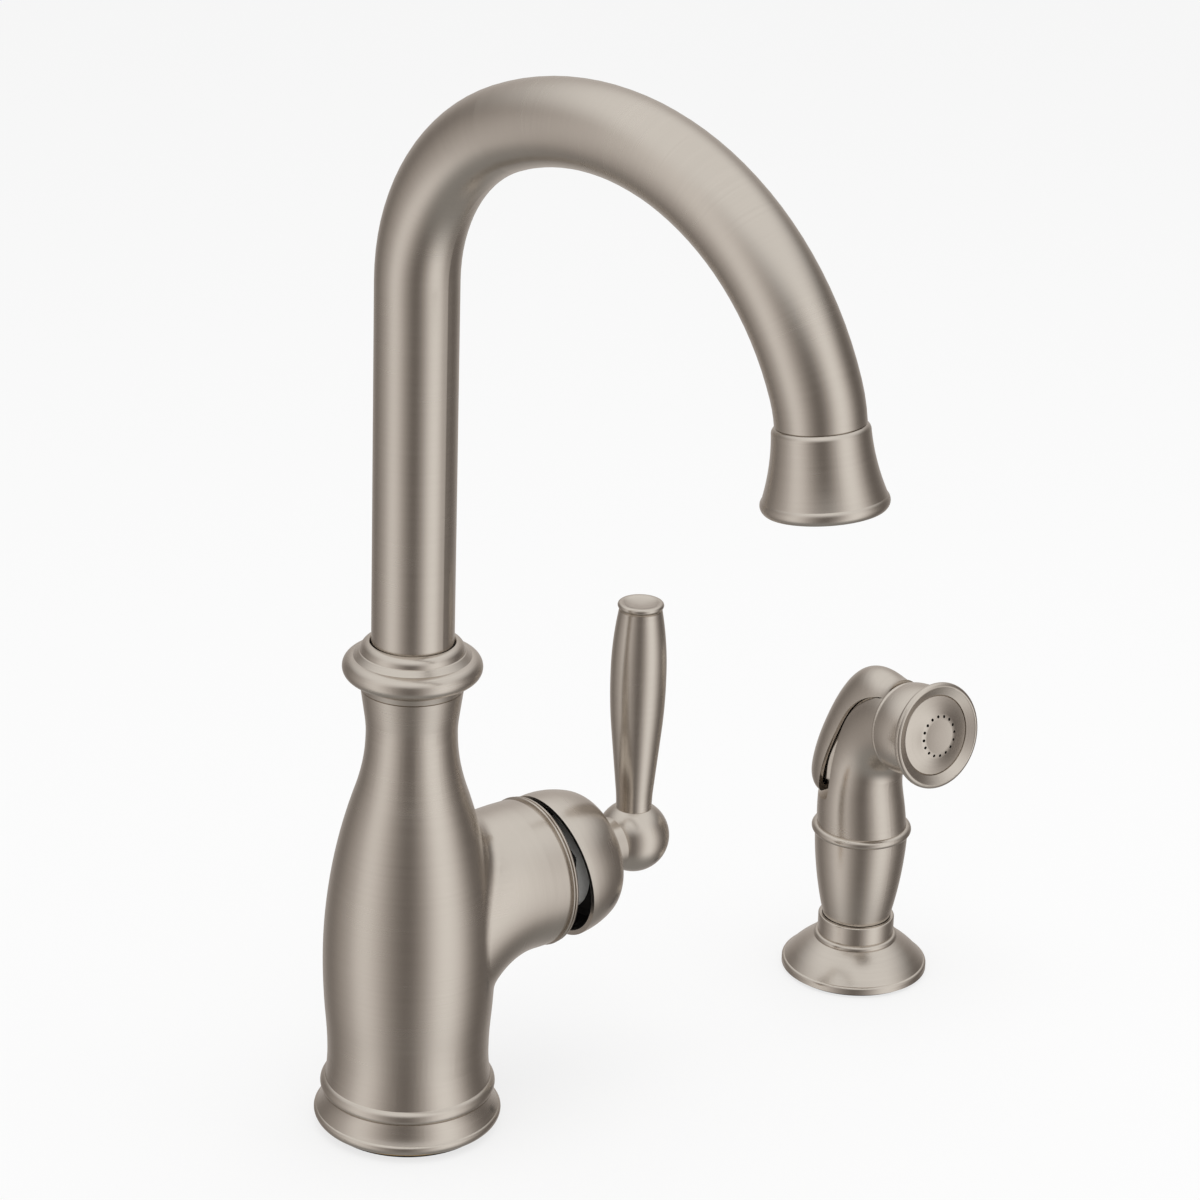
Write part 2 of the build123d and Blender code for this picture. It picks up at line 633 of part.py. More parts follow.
def spout_collar():
    """Fixed collar round the foot of the tube: cove, large bead, fine step and a sloping lip."""
    bore = TUBE_R + LOOSE
    big = TUBE_R + COLLAR_OVER
    root = NECK_R + NECK_FLARE + 0.6
    low, top = COLLAR_BASE, COLLAR_BASE + COLLAR_H
    cove = ThreePointArc((root, low), (root + 1.8, low + 1.25), (big - 1.5, low + 1.7))
    bead = ThreePointArc((big - 1.5, low + 1.7), (big, low + 4.7), (big - 3.7, low + 8.6))
    step = outline((big - 3.7, low + 8.6), (big - 5.5, low + 10.3), (big - 5.9, low + 10.5))
    lip = ThreePointArc((big - 5.9, low + 10.5), (bore + 2.1, top - 0.8), (bore + 0.3, top))
    inside = outline((bore + 0.3, top), (bore, top - 0.3), (bore, low), (root, low))
    return turned([cove, bead, *step, lip, *inside])


def outlet_bell():
    """Trumpet mouth on the tube's end, with a spigot inside the tube and a seat for the aerator."""
    shoulder = TUBE_R + BELL_SHOULDER
    round_over = ThreePointArc((TUBE_R - 0.2, 0.3), (shoulder - 0.4, 1.0), (shoulder, 2.5))
    flare = ThreePointArc((shoulder, 2.5), (shoulder + 1.15, 12.0), (BELL_RIM_R - 0.7, BELL_L - 4.0))
    roll = ThreePointArc(
        (BELL_RIM_R - 0.7, BELL_L - 4.0), (BELL_RIM_R, BELL_L - 2.0), (BELL_RIM_R - 1.1, BELL_L)
    )
    thread_end = BELL_L - 5.0
    mouth = ThreePointArc(
        (BELL_RIM_R - 1.8, BELL_L - 0.4), (AERATOR_R + 2.1, BELL_L - 2.6), (AERATOR_R + PRESS, thread_end)
    )
    seat = thread_end - AERATOR_L - 1.0
    spigot = TUBE_BORE - BELL_FIT
    core = outline(
        (AERATOR_R + PRESS, thread_end),
        (AERATOR_R + PRESS, seat),
        (spigot - 2.2, seat),
        (spigot - 2.2, -BELL_SPIGOT),
        (spigot, -BELL_SPIGOT),
        (spigot, 0),
        (TUBE_R - 0.8, 0),
        (TUBE_R - 0.8, 0.3),
        (TUBE_R - 0.2, 0.3),
    )
    lip = outline((BELL_RIM_R - 1.1, BELL_L), (BELL_RIM_R - 1.8, BELL_L - 0.4))
    return at_outlet(turned([round_over, flare, roll, *lip, mouth, *core]))


def aerator_seat():
    return BELL_L - 5.0 - AERATOR_L - 1.0


def aerator_washer():
    return at_outlet(Pos(0, 0, aerator_seat()) * tube(AERATOR_R - 0.3, AERATOR_R - 3.0, 1.0))


def aerator_housing():
    shape = tube(AERATOR_R, AERATOR_R - 1.6, AERATOR_L)
    shape += Pos(0, 0, AERATOR_L - 1.2) * tube(AERATOR_R, AERATOR_R - 2.6, 1.2)
    return at_outlet(Pos(0, 0, aerator_seat() + 1.0) * shape)


def aerator_screens():
    """Two perforated discs inside the housing."""
    plate = rod(AERATOR_R - 1.6 - PRESS, 0.7)
    for pitch, count in ((0, 1), (3.6, 6), (7.2, 12)):
        for place in (PolarLocations(pitch, count) if count > 1 else [Location()]):
            plate -= place * rod(1.1, 0.7)
    lower = aerator_seat() + AERATOR_L - 1.0
    return at_outlet(Compound([Pos(0, 0, lower) * plate, Pos(0, 0, lower - 3.0) * plate]))


# ---------------------------------------------------------------- diverter

def diverter_cage():
    """Open cage pressed in below the spout, with four windows."""
    inner = PISTON_R + 1.2
    shape = tube(DIVERTER_R, inner, DIVERTER_L - 0.5)
    for place in PolarLocations(DIVERTER_R, 4):
        shape -= place * Pos(0, 0, 6.0) * block(2 * DIVERTER_R - 6, 4.0, 8.0)
    shape += tube(inner + 0.5, PISTON_R + RUN - 1.0, 1.5)
    return Pos(0, 0, DIVERTER_BASE) * shape


def diverter_piston():
    low = DIVERTER_BASE + 1.6
    shape = rod(PISTON_R, 10.0) + Pos(0, 0, 2.0) * rod(PISTON_R + 0.9, 1.8)
    shape -= Pos(0, 0, 4.5) * rod(PISTON_R - 1.5, 6.0)
    return Pos(0, 0, low) * shape


# ---------------------------------------------------------------- sprayer holder

def holder_gasket():
    return at_holder(tube(HOLDER_R - 1.5, GUIDE_R + LOOSE, HOLDER_GASKET_T))


def spray_holder():
    """Flared foot, a small step and a short cylindrical collar."""
    low = HOLDER_GASKET_T
    rim_top = low + HOLDER_EDGE
    step_r = COLLAR_R + 1.3
    step = low + HOLDER_CONE_H - 1.9
    foot_edge = TangentArc((HOLDER_R, rim_top), (HOLDER_R - 1.0, rim_top + 1.0), tangent=(0, 1))
    slope = ThreePointArc(
        (HOLDER_R - 1.0, rim_top + 1.0),
        ((HOLDER_R - 1.0 + step_r) / 2 + 0.5, (rim_top + 1.0 + step) / 2 + 0.5),
        (step_r, step),
    )
    bead = ThreePointArc((step_r, step), (step_r + 0.1, step + 0.9), (COLLAR_R, step + 1.9))
    roll = ThreePointArc(
        (COLLAR_R, COLLAR_TOP - 0.6), (COLLAR_R - 0.3, COLLAR_TOP - 0.1), (COLLAR_R - 0.7, COLLAR_TOP)
    )
    bore = GUIDE_COLLAR_BORE
    sides = outline((COLLAR_R, step + 1.9), (COLLAR_R, COLLAR_TOP - 0.6))
    inside = outline(
        (COLLAR_R - 0.7, COLLAR_TOP), (bore, COLLAR_TOP), (bore, low), (HOLDER_R, low), (HOLDER_R, rim_top)
    )
    return at_holder(turned([foot_edge, slope, bead, *sides, roll, *inside]))


def hose_guide():
    """Plastic sleeve that lines the collar, seats the sprayer and goes down through the deck."""
    top = COLLAR_TOP - 1.0
    seat = CUP_FLOOR - 0.3
    upper = GUIDE_R - THREAD_RELIEF
    points = outline(
        (GUIDE_R, -GUIDE_DROP),
        (GUIDE_R, -1.0),
        (upper, -1.0),
        (upper, top),
        (upper - 0.2, top),
        (CUP_LOW_R - 0.75, seat),
        (GUIDE_BORE, seat),
        (GUIDE_BORE, -GUIDE_DROP),
        (GUIDE_R, -GUIDE_DROP),
    )
    return at_holder(turned(points))


# ---------------------------------------------------------------- sprayer

def hose_coupling():
    """Swivel fitting in the sprayer's foot, with a socket for the spray hose."""
    top = CUP_FLOOR - 0.2
    low = top - COUPLING_L
    shape = Pos(0, 0, low) * rod(COUPLING_R, COUPLING_L)
    shape += Pos(0, 0, top) * rod(SPIGOT_R, SPIGOT_L + 0.2)
    shape -= Pos(0, 0, low) * rod(SOCKET_R, HOSE_SOCKET_L)
    shape -= Pos(0, 0, low) * rod(HOSE_BORE_R, COUPLING_L + SPIGOT_L + 1)
    shape -= Pos(0, 0, CUP_FLOOR + 3.4) * tube(SPIGOT_R + 1, SPIGOT_R - 1.0, 1.6)
    shape -= Pos(0, 0, clip_rise()) * tube(SPIGOT_R + 1, SPIGOT_R - 0.7, 1.0)
    return at_sprayer(shape)


def clip_rise():
    return CUP_FLOOR + 9.0


def coupling_o_ring():
    return at_sprayer(Pos(0, 0, CUP_FLOOR + 4.2) * Torus(SPIGOT_R - 0.45, 0.5))


def coupling_clip():
    clip = tube(SPIGOT_R + 1.4, SPIGOT_R - 0.6, 0.8) - Pos(SPIGOT_R, 0, 0) * block(12, 4, 2)
    return at_sprayer(Pos(0, 0, clip_rise() + 0.1) * clip)


def sprayer_base():
    """Tapered cup of the sprayer's handle."""
    floor = CUP_FLOOR + 8.2
    wall = ThreePointArc(
        (CUP_LOW_R, COLLAR_TOP),
        ((CUP_LOW_R + CUP_TOP_R) / 2 + 0.9, (COLLAR_TOP + CUP_TOP) / 2),
        (CUP_TOP_R, CUP_TOP),
    )
    hollow = ThreePointArc(
        (CUP_LOW_R - CUP_WALL, floor),
        ((CUP_LOW_R + CUP_TOP_R) / 2 - CUP_WALL, (floor + CUP_TOP - SOCKET_DEPTH) / 2),
        (socket_r(), CUP_TOP - SOCKET_DEPTH),
    )
    below = outline((SPIGOT_R + RUN, CUP_FLOOR), (CUP_LOW_R - 1.2, CUP_FLOOR), (CUP_LOW_R, COLLAR_TOP))
    above = outline((CUP_TOP_R, CUP_TOP), (socket_r(), CUP_TOP), (socket_r(), CUP_TOP - SOCKET_DEPTH))
    inside = outline((CUP_LOW_R - CUP_WALL, floor), (SPIGOT_R + RUN, floor), (SPIGOT_R + RUN, CUP_FLOOR))
    return at_sprayer(turned([*below, wall, *above, hollow, *inside]))


def socket_r():
    """Straight bore at the cup's top, where the body's spigot goes."""
    return CUP_TOP_R - 3.0


def waist_ring():
    top = CUP_TOP + WAIST_RING_H
    bead = half_round(CUP_TOP, top, WAIST_RING_R)
    inner, root = socket_r(), WAIST_RING_R - WAIST_RING_H / 2
    sides = outline((root, top), (inner, top), (inner, CUP_TOP), (root, CUP_TOP))
    return at_sprayer(turned([bead, *sides]))


def grip_bend(degrees, out=0.0):
    """Place on the bend of the sprayer's body, with Z along it, or out from it on its back."""
    turn = Pos(GRIP_BEND_R - GRIP_BACK, 0, GRIP_BEND_RISE) * Rot(0, degrees, 0)
    return turn * Pos(-GRIP_BEND_R - out, 0, 0)


def grip_form():
    """Outer form of the sprayer's body: a shaft that draws in at its front, and bends to the head."""
    rise = GRIP_BEND_RISE - SPRAY_WAIST
    stations = ((0, 0, 0), (0.16, 0.4, 0.07), (0.42, 0.9, 0.32), (0.68, 1.3, 0.7), (0.88, 1.25, 0.93), (1, 1, 1))
    rounds = [
        Pos(-GRIP_BACK * back, 0, SPRAY_WAIST + rise * up) * Circle(GRIP_R - GRIP_DRAW * draw)
        for up, back, draw in stations
    ]
    centre = Axis((GRIP_BEND_R - GRIP_BACK, 0, GRIP_BEND_RISE), (0, 1, 0))
    return loft(rounds) + revolve(grip_bend(0) * Circle(GRIP_NECK_R), centre, 90 - HEAD_TILT)


def sprayer_body():
    shape = grip_form()
    plug = SOCKET_DEPTH + WAIST_RING_H - 1.0
    shape += Pos(0, 0, SPRAY_WAIST - plug) * rod(socket_r() - PRESS, plug + 0.5)
    shape -= trigger_room()
    shape -= along_pin(EAR_R + LOOSE, TRIGGER_PIN_L + 2 * LOOSE)
    shape += along_pin(EAR_R, LUG_W)
    shape += Pos(PIN_AT[0], 0, PIN_AT[1] - 12.0) * block(2 * EAR_R, LUG_W, 12.0)
    shape -= along_pin(TRIGGER_PIN_R + 0.01, 2 * TRIGGER_PIN_L)
    back = -GRIP_R - 8
    shape -= Pos(back, 0, PLUNGER_RISE) * Rot(0, 90, 0) * rod(seat_r() + PRESS, VALVE_FLOOR - back)
    shape = at_sprayer(shape)
    return shape - at_head(HEAD_START - 12.0, rod(bell_spigot_r() + PRESS, 30))


def bell_spigot_r():
    return DRUM_R - 7.0


def seat_r():
    return PLUNGER_R + 2.0


def head_ring():
    bead = half_round(0, HEAD_RING_W, HEAD_RING_R)
    inner = bell_spigot_r() + PRESS
    root = HEAD_RING_R - HEAD_RING_W / 2
    sides = outline((root, HEAD_RING_W), (inner, HEAD_RING_W), (inner, 0), (root, 0))
    return at_head(HEAD_START, turned([bead, *sides]))


def at_head(forward, shape):
    """Place on the nozzle's axis, with the part's own Z pointing forward."""
    return at_sprayer(Pos(0, 0, HEAD_AXIS_RISE) * Rot(0, 90 - HEAD_TILT, 0) * Pos(0, 0, forward) * shape)


def spray_bell():
    """Drum behind a flared rim, with a dish that holds the face."""
    depth = SPRAY_RIM_OUT - RING_END
    face_at = depth - FACE_SET_BACK
    foot = outline((DRUM_R - 0.7, 0), (DRUM_R - 0.7, 0.4), (DRUM_R - 0.2, 0.8))
    drum = ThreePointArc((DRUM_R - 0.2, 0.8), (DRUM_R, 4.0), (DRUM_R - 0.9, depth - 5.6))
    flare = ThreePointArc(drum @ 1, (DRUM_R - 0.3, depth - 3.6), (SPRAY_RIM_R - 0.9, depth - 2.5))
    roll = ThreePointArc(flare @ 1, (SPRAY_RIM_R, depth - 1.2), (SPRAY_RIM_R - 0.9, depth))
    lip = ThreePointArc(roll @ 1, (SPRAY_RIM_R - 1.4, depth + 0.1), (SPRAY_RIM_R - 1.8, depth - 0.1))
    spigot = bell_spigot_r()
    inside = outline(
        lip @ 1,
        (FACE_R + PRESS, face_at + 0.1),
        (FACE_R + PRESS, face_at - 2.6),
        (FACE_R - 3.0, face_at - 2.6),
        (FACE_R - 3.0, 4.0),
        (spigot - 2.0, 4.0),
        (spigot - 2.0, -HEAD_RING_W - 8.0),
        (spigot, -HEAD_RING_W - 8.0),
        (spigot, 0),
        (DRUM_R - 0.7, 0),
    )
    return at_head(RING_END, turned([*foot, drum, flare, roll, lip, *inside]))


def spray_face():
    """Disc that rises as a cone to one ring of jets round a nearly flat middle."""
    front = SPRAY_RIM_OUT - FACE_SET_BACK
    back = front - FACE_T
    top = front + FACE_CROWN
    foot = (FACE_R - 0.4, front)
    ridge = (JET_PITCH_R - 1.0, top)
    slope = ThreePointArc(foot, (JET_PITCH_R + 3.0, front + FACE_CROWN * 0.5), (JET_PITCH_R + 1.0, top - 0.35))
    edge = ThreePointArc(slope @ 1, (JET_PITCH_R, top - 0.1), ridge)
    well = crown(*ridge, top - 0.2)
    sides = outline((0, top - 0.2), (0, back), (FACE_R, back), (FACE_R, front - 0.4), foot)
    face = turned([slope, edge, well, *sides])
    for place in PolarLocations(JET_PITCH_R, JETS):
        face -= place * Pos(0, 0, back - 1) * rod(JET_R, 3 * FACE_T)
    return at_head(0, face)


def face_washer():
    back = SPRAY_RIM_OUT - FACE_SET_BACK - FACE_T
    return at_head(back - 1.0, tube(FACE_R - 3.2, FACE_R - 5.2, 1.0))


# ---------------------------------------------------------------- trigger and valve

def trigger_shell(grow, raised=0.0):
    """Full rounded form of the paddle round the back of the body, before its side edges are cut."""
    # place on the bend in degrees, or height below it; half width and reach behind the body's centre line
    below = GRIP_BEND_RISE - TRIGGER_TOE - raised
    stations = (
        (below, 0, -2.0, -1.4), (below - 1.2, 0, -0.9, 0.3), (below * 0.5, 0, -0.3, 2.2), (0, 1, -0.2, 2.4),
        (0, 15, -0.4, 1.2), (0, 30, -1.3, 2.0), (0, 44, -2.9, 4.6), (0, 57, -4.6, 6.3), (0, 70, -6.0, 3.6),
        (0, 90 - HEAD_TILT, -6.5, 0.9),
    )
    shift = 5.0
    rings = []
    for under, turn, width, reach in stations:
        half, deep = GRIP_R + width + grow, GRIP_R + reach + grow - shift
        rings.append(grip_bend(turn, shift) * Pos(0, 0, -under) * Ellipse(deep, half))
    return loft(rings)


def trigger_side(grow):
    """Side view of all that lies behind the paddle's front edges."""
    rise = GRIP_BEND_RISE
    front_rise = rise + 36.6 - grow
    front = (HEAD_START - (front_rise - HEAD_AXIS_RISE) * HEAD_SIN) / HEAD_COS - LOOSE + 3 * grow
    seam = Spline(
        (-7.0 + grow, rise - 10.0),
        (-5.2 + grow, rise + 4.5),
        (-1.2 + grow, rise + 18.0),
        (3.4 + grow, rise + 29.5 - grow),
        (9.0, rise + 34.2 - grow),
        (front, front_rise),
    )
    above = (front - 30 * HEAD_SIN, front_rise + 30 * HEAD_COS)
    close = outline(seam @ 1, above, (-50, above[1]), (-50, rise - 10.0), seam @ 0)
    return extrude(Plane.XZ * make_face([seam, *close]), 30, both=True)


def trigger_form():
    """The paddle as a shell."""
    shell = trigger_shell(0) - trigger_shell(-TRIGGER_WALL, 2.0)
    return shell & trigger_side(0)


def along_pin(radius, width):
    return Pos(PIN_AT[0], 0, PIN_AT[1]) * Rot(90, 0, 0) * Cylinder(radius, width)


def trigger_room():
    """Space that the paddle takes up at rest, pressed, and on the way."""
    pin = Axis((PIN_AT[0], 0, PIN_AT[1]), (0, -1, 0))
    inside = trigger_shell(-TRIGGER_WALL - LOOSE / 2, 4.0)
    core = inside & inside.rotate(pin, TRIGGER_PRESS)
    side = trigger_side(LOOSE)
    return (trigger_shell(LOOSE, -2.8) - core) & (side + side.rotate(pin, TRIGGER_PRESS))


def spray_trigger():
    """Shell that wraps the back of the body and turns over its top, hinged just behind the head."""
    ears = along_pin(EAR_R, TRIGGER_PIN_L) - along_pin(2 * EAR_R, LUG_W + 0.6)
    solid = trigger_form() + (ears & trigger_shell(0))
    return at_sprayer(solid - along_pin(TRIGGER_PIN_R + RUN, TRIGGER_PIN_L + LOOSE))


def trigger_pin():
    return at_sprayer(along_pin(TRIGGER_PIN_R, TRIGGER_PIN_L))


def along_plunger(x, shape):
    return at_sprayer(Pos(x, 0, PLUNGER_RISE) * Rot(0, 90, 0) * shape)


def spray_valve_seat():
    """Bush that guides the plunger in the body."""
    return along_plunger(BUSH_START, tube(seat_r(), PLUNGER_R + RUN, BUSH_L))


def valve_plunger():
    button = rod(PLUNGER_R + 1.2, 1.4) & Pos(0, 0, 3 * PLUNGER_R) * Sphere(3 * PLUNGER_R)
    return along_plunger(PLUNGER_BACK, button + rod(PLUNGER_R, 17.5))


def valve_spring():
    start = PLUNGER_BACK + 1.5 + SPRING_WIRE_R
    length = BUSH_START - start - SPRING_WIRE_R - 0.1
    coil = Helix(length / SPRING_TURNS, length, PLUNGER_R + 0.3 + SPRING_WIRE_R)
    wire = sweep(Plane(origin=coil @ 0, z_dir=coil % 0) * Circle(SPRING_WIRE_R), coil)
    return along_plunger(start, wire)


# ---------------------------------------------------------------- write each part

PARTS = (
    base_gasket, base_ring, faucet_body, mounting_shank, neck_ring, spout_collar,
    lower_spout_bushing, upper_spout_bushing, cartridge_seal, cartridge_housing, fixed_disc,
    mixing_disc, cartridge_nut, cartridge_spindle, stem_pivot_pin, cartridge_stem,
    handle_cap, handle_set_screw, handle_ball, lever_grip, lever_finial,
    spout_tube, spout_stub, spout_o_rings, spout_retaining_clip, outlet_bell,
    aerator_washer, aerator_housing, aerator_screens, diverter_cage, diverter_piston,
    holder_gasket, spray_holder, hose_guide, hose_coupling, coupling_o_ring, coupling_clip,
    sprayer_base, waist_ring, sprayer_body, head_ring, spray_bell, spray_face, face_washer,
    spray_trigger, trigger_pin, spray_valve_seat, valve_plunger, valve_spring,
)

os.makedirs("parts", exist_ok=True)
for make in PARTS:
    export_step(make(), f"parts/{make.__name__}.step")
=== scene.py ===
"""Finishes, threads, small shapes and studio for a side spray kitchen faucet.

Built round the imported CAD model: every piece stays where the CAD has it.
"""

import json
import math

import bpy
from mathutils import Matrix, Vector

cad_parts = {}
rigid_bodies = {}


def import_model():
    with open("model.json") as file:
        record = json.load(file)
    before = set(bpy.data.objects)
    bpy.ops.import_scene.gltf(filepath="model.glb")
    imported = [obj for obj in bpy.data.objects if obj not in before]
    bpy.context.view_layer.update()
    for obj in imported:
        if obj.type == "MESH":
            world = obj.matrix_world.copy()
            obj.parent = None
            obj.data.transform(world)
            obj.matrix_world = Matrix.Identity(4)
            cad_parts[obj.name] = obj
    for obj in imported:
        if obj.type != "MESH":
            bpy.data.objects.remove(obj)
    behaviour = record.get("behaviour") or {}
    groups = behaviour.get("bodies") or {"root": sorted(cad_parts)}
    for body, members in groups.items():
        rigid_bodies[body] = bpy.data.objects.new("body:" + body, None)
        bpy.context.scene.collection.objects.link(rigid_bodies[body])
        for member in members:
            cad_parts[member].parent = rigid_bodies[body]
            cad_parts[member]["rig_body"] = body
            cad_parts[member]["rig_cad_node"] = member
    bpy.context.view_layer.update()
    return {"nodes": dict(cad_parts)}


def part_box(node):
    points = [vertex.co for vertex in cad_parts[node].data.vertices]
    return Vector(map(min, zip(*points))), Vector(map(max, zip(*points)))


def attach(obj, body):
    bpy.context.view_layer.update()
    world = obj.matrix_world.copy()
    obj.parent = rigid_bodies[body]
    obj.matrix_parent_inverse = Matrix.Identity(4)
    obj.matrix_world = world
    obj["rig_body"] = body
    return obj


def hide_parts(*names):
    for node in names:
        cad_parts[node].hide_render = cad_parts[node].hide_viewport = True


bl_info = {
    "name": "Side Spray Kitchen Faucet",
    "version": (1, 0, 0),
    "blender": (4, 5, 0),
    "location": "View3D > Sidebar > Faucet",
    "description": "Brushed nickel and other finishes, cut threads and a plain studio for the faucet",
    "category": "Object",
}

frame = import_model()
NODES = frame["nodes"]

MM = 0.001
UPRIGHT = (0.0, 0.0, 1.0)
MERGE = 0.001 * MM                    # vertices closer than this are one
SOFT_EDGE = 0.1 * MM                  # blend at the edge of an area of painted shade

# where the parts lie, in metres, for brushing that follows each turned form
PIVOT = (0.062, 0.0, 0.0805)          # the handle's pivot on the hub's axis
LEVER_X = 0.09535
CAP_TILT = math.radians(3.0)
CAP_CAVITY = (0.0244, 8.0, -0.0066, 0.0089)   # painted shade in the dome's cavity: radius at its mouth, flare, start and end from the pivot
HUB_MOUTH = (0.0405, 0.0540, 0.0228)  # start and end along the hub, and radius, of painted shade in its threaded mouth
HUB_BLEND = (0.026, 0.036)            # x where the vase's brushing turns into the hub's
SPOUT_SWING = math.radians(10.4)      # from the front towards the sprayer
SPOUT_WAY = (math.sin(SPOUT_SWING), -math.cos(SPOUT_SWING), 0.0)
COLUMN_TOP = 0.3022
BEND_R = (0.0624, 0.0943, 0.043)      # the arch's three radii
BEND_TURN = (math.radians(66.5), math.radians(92.5), math.radians(13.5))
ARCH_FROM = (0.032, 0.045)            # how far out the first arc's measure hands over to the others
HOLDER_X = 0.2032
GRIP_BEND = (-0.02396, 0.08005, 0.02516)     # centre of the sprayer's bend as y and z, and its radius
NOZZLE_TILT = math.radians(8.8)
NOZZLE_WAY = (0.0, -math.cos(NOZZLE_TILT), math.sin(NOZZLE_TILT))
NOZZLE_Z = 0.1018                     # where the nozzle's axis crosses the sprayer's

# threads below the deck
SHANK_R = 0.016
GUIDE_R = 0.0131
THREAD_TOP = -1.2 * MM
THREAD_END_GAP = 0.5 * MM             # plain end below the first turn
THREAD_FOOT = 0.94                    # width of the ridge's foot, as a share of the pitch
THREAD_CREST = 0.14                   # width of its crest, as a share of its foot
THREAD_SIDES = 48

# dish in the lever's finial: inner edge of the rim kept, then share and drop in mm of each ring
DISH_CUT_R = 6.2 * MM
DISH_EDGE_R = 6.4 * MM
DISH_RINGS = ((0.93, 0.30), (0.84, 0.36), (0.74, 0.28), (0.62, 0.20), (0.48, 0.12), (0.30, 0.05))

# rubber jet former, on the nozzle's axis; places are distances along it
JETS = 16
JET_PITCH_R = 7.25 * MM
FORMER_R = 9.2 * MM
FORMER_THICK = 1.1 * MM
FORMER_AT = 33.7 * MM
NUB_R = (0.52 * MM, 0.46 * MM)        # at its foot and at its tip
NUB_LENGTH = 3.9 * MM
NUB_AT = 36.1 * MM
FORMER_ROUNDING = 0.12 * MM


# ---------------------------------------------------------------- sizes and colours that a user would change

class FaucetFinish(bpy.types.PropertyGroup):
    nickel: bpy.props.FloatVectorProperty(
        name="Nickel", description="Colour of the plated outside", subtype="COLOR", size=3,
        min=0, max=1, default=(0.65, 0.604, 0.552))
    nickel_roughness: bpy.props.FloatProperty(
        name="Nickel roughness", description="Softness of the satin plate", min=0, max=1, default=0.26)
    brush_depth: bpy.props.FloatProperty(
        name="Brush depth", description="Height of the brush marks", unit="LENGTH", default=0.000008)
    brush_pitch: bpy.props.FloatProperty(
        name="Brush pitch", description="Mean distance between brush marks", unit="LENGTH", default=0.00022)
    brass: bpy.props.FloatVectorProperty(
        name="Brass", description="Colour of the turned brass inside and below", subtype="COLOR", size=3,
        min=0, max=1, default=(0.72, 0.50, 0.22))
    dark_plastic: bpy.props.FloatVectorProperty(
        name="Dark plastic", description="Colour of the hose guide", subtype="COLOR", size=3,
        min=0, max=1, default=(0.016, 0.016, 0.017))


class FaucetThreads(bpy.types.PropertyGroup):
    shank_pitch: bpy.props.FloatProperty(
        name="Shank pitch", description="Thread pitch of the brass shank", unit="LENGTH", default=0.0015)
    shank_depth: bpy.props.FloatProperty(
        name="Shank thread depth", description="Depth of the shank's thread", unit="LENGTH",
        default=0.0009)
    guide_pitch: bpy.props.FloatProperty(
        name="Guide pitch", description="Thread pitch of the plastic hose guide", unit="LENGTH",
        default=0.003)
    guide_depth: bpy.props.FloatProperty(
        name="Guide thread depth", description="Depth of the guide's thread", unit="LENGTH", default=0.0010)


class FaucetStudio(bpy.types.PropertyGroup):
    lens: bpy.props.FloatProperty(
        name="Lens", description="Focal length on a 36 mm sensor", subtype="DISTANCE_CAMERA", default=119.26)
    azimuth: bpy.props.FloatProperty(
        name="Azimuth", description="Camera's direction round the faucet, from the front", subtype="ANGLE",
        default=math.radians(-37.997))
    elevation: bpy.props.FloatProperty(
        name="Elevation", description="Camera's angle above the deck", subtype="ANGLE",
        default=math.radians(22.071))
    roll: bpy.props.FloatProperty(
        name="Roll", description="Camera's turn about its own axis", subtype="ANGLE",
        default=math.radians(1.784))
    distance: bpy.props.FloatProperty(
        name="Distance", description="Camera to the point it looks at", unit="LENGTH", default=1.30059)
    aim_right: bpy.props.FloatProperty(
        name="Aim right", description="Aim point to the right of the faucet's axis", unit="LENGTH",
        default=0.061056)
    aim_up: bpy.props.FloatProperty(
        name="Aim up", description="Aim point's height above the deck", unit="LENGTH", default=0.194676)
    fill: bpy.props.FloatProperty(
        name="Fill", description="Strength of the plain studio light on dull surfaces", min=0, default=0.75)
    key_power: bpy.props.FloatProperty(
        name="Key power", description="Power of the overhead lamp, in watts", min=0, default=9.0)


# ---------------------------------------------------------------- shader maths

class Wire:
    """A value in a shader tree. Arithmetic on it adds Math nodes."""

    def __init__(self, bench, socket):
        self.bench, self.socket = bench, socket

    def math(self, operation, *others):
        return self.bench.math(operation, self, *others)

    def __add__(self, other):
        return self.math("ADD", other)

    __radd__ = __add__

    def __sub__(self, other):
        return self.math("SUBTRACT", other)

    def __rsub__(self, other):
        return self.bench.math("SUBTRACT", other, self)

    def __mul__(self, other):
        return self.math("MULTIPLY", other)

    __rmul__ = __mul__

    def __truediv__(self, other):
        return self.math("DIVIDE", other)

    def clamp(self, low, high):
        return self.math("MAXIMUM", low).math("MINIMUM", high)

    def step(self, start, end):
        """0 before start, 1 after end, smooth between."""
        span = ((self - start) / (end - start)).clamp(0, 1)
        return span * span * (3 - 2 * span)


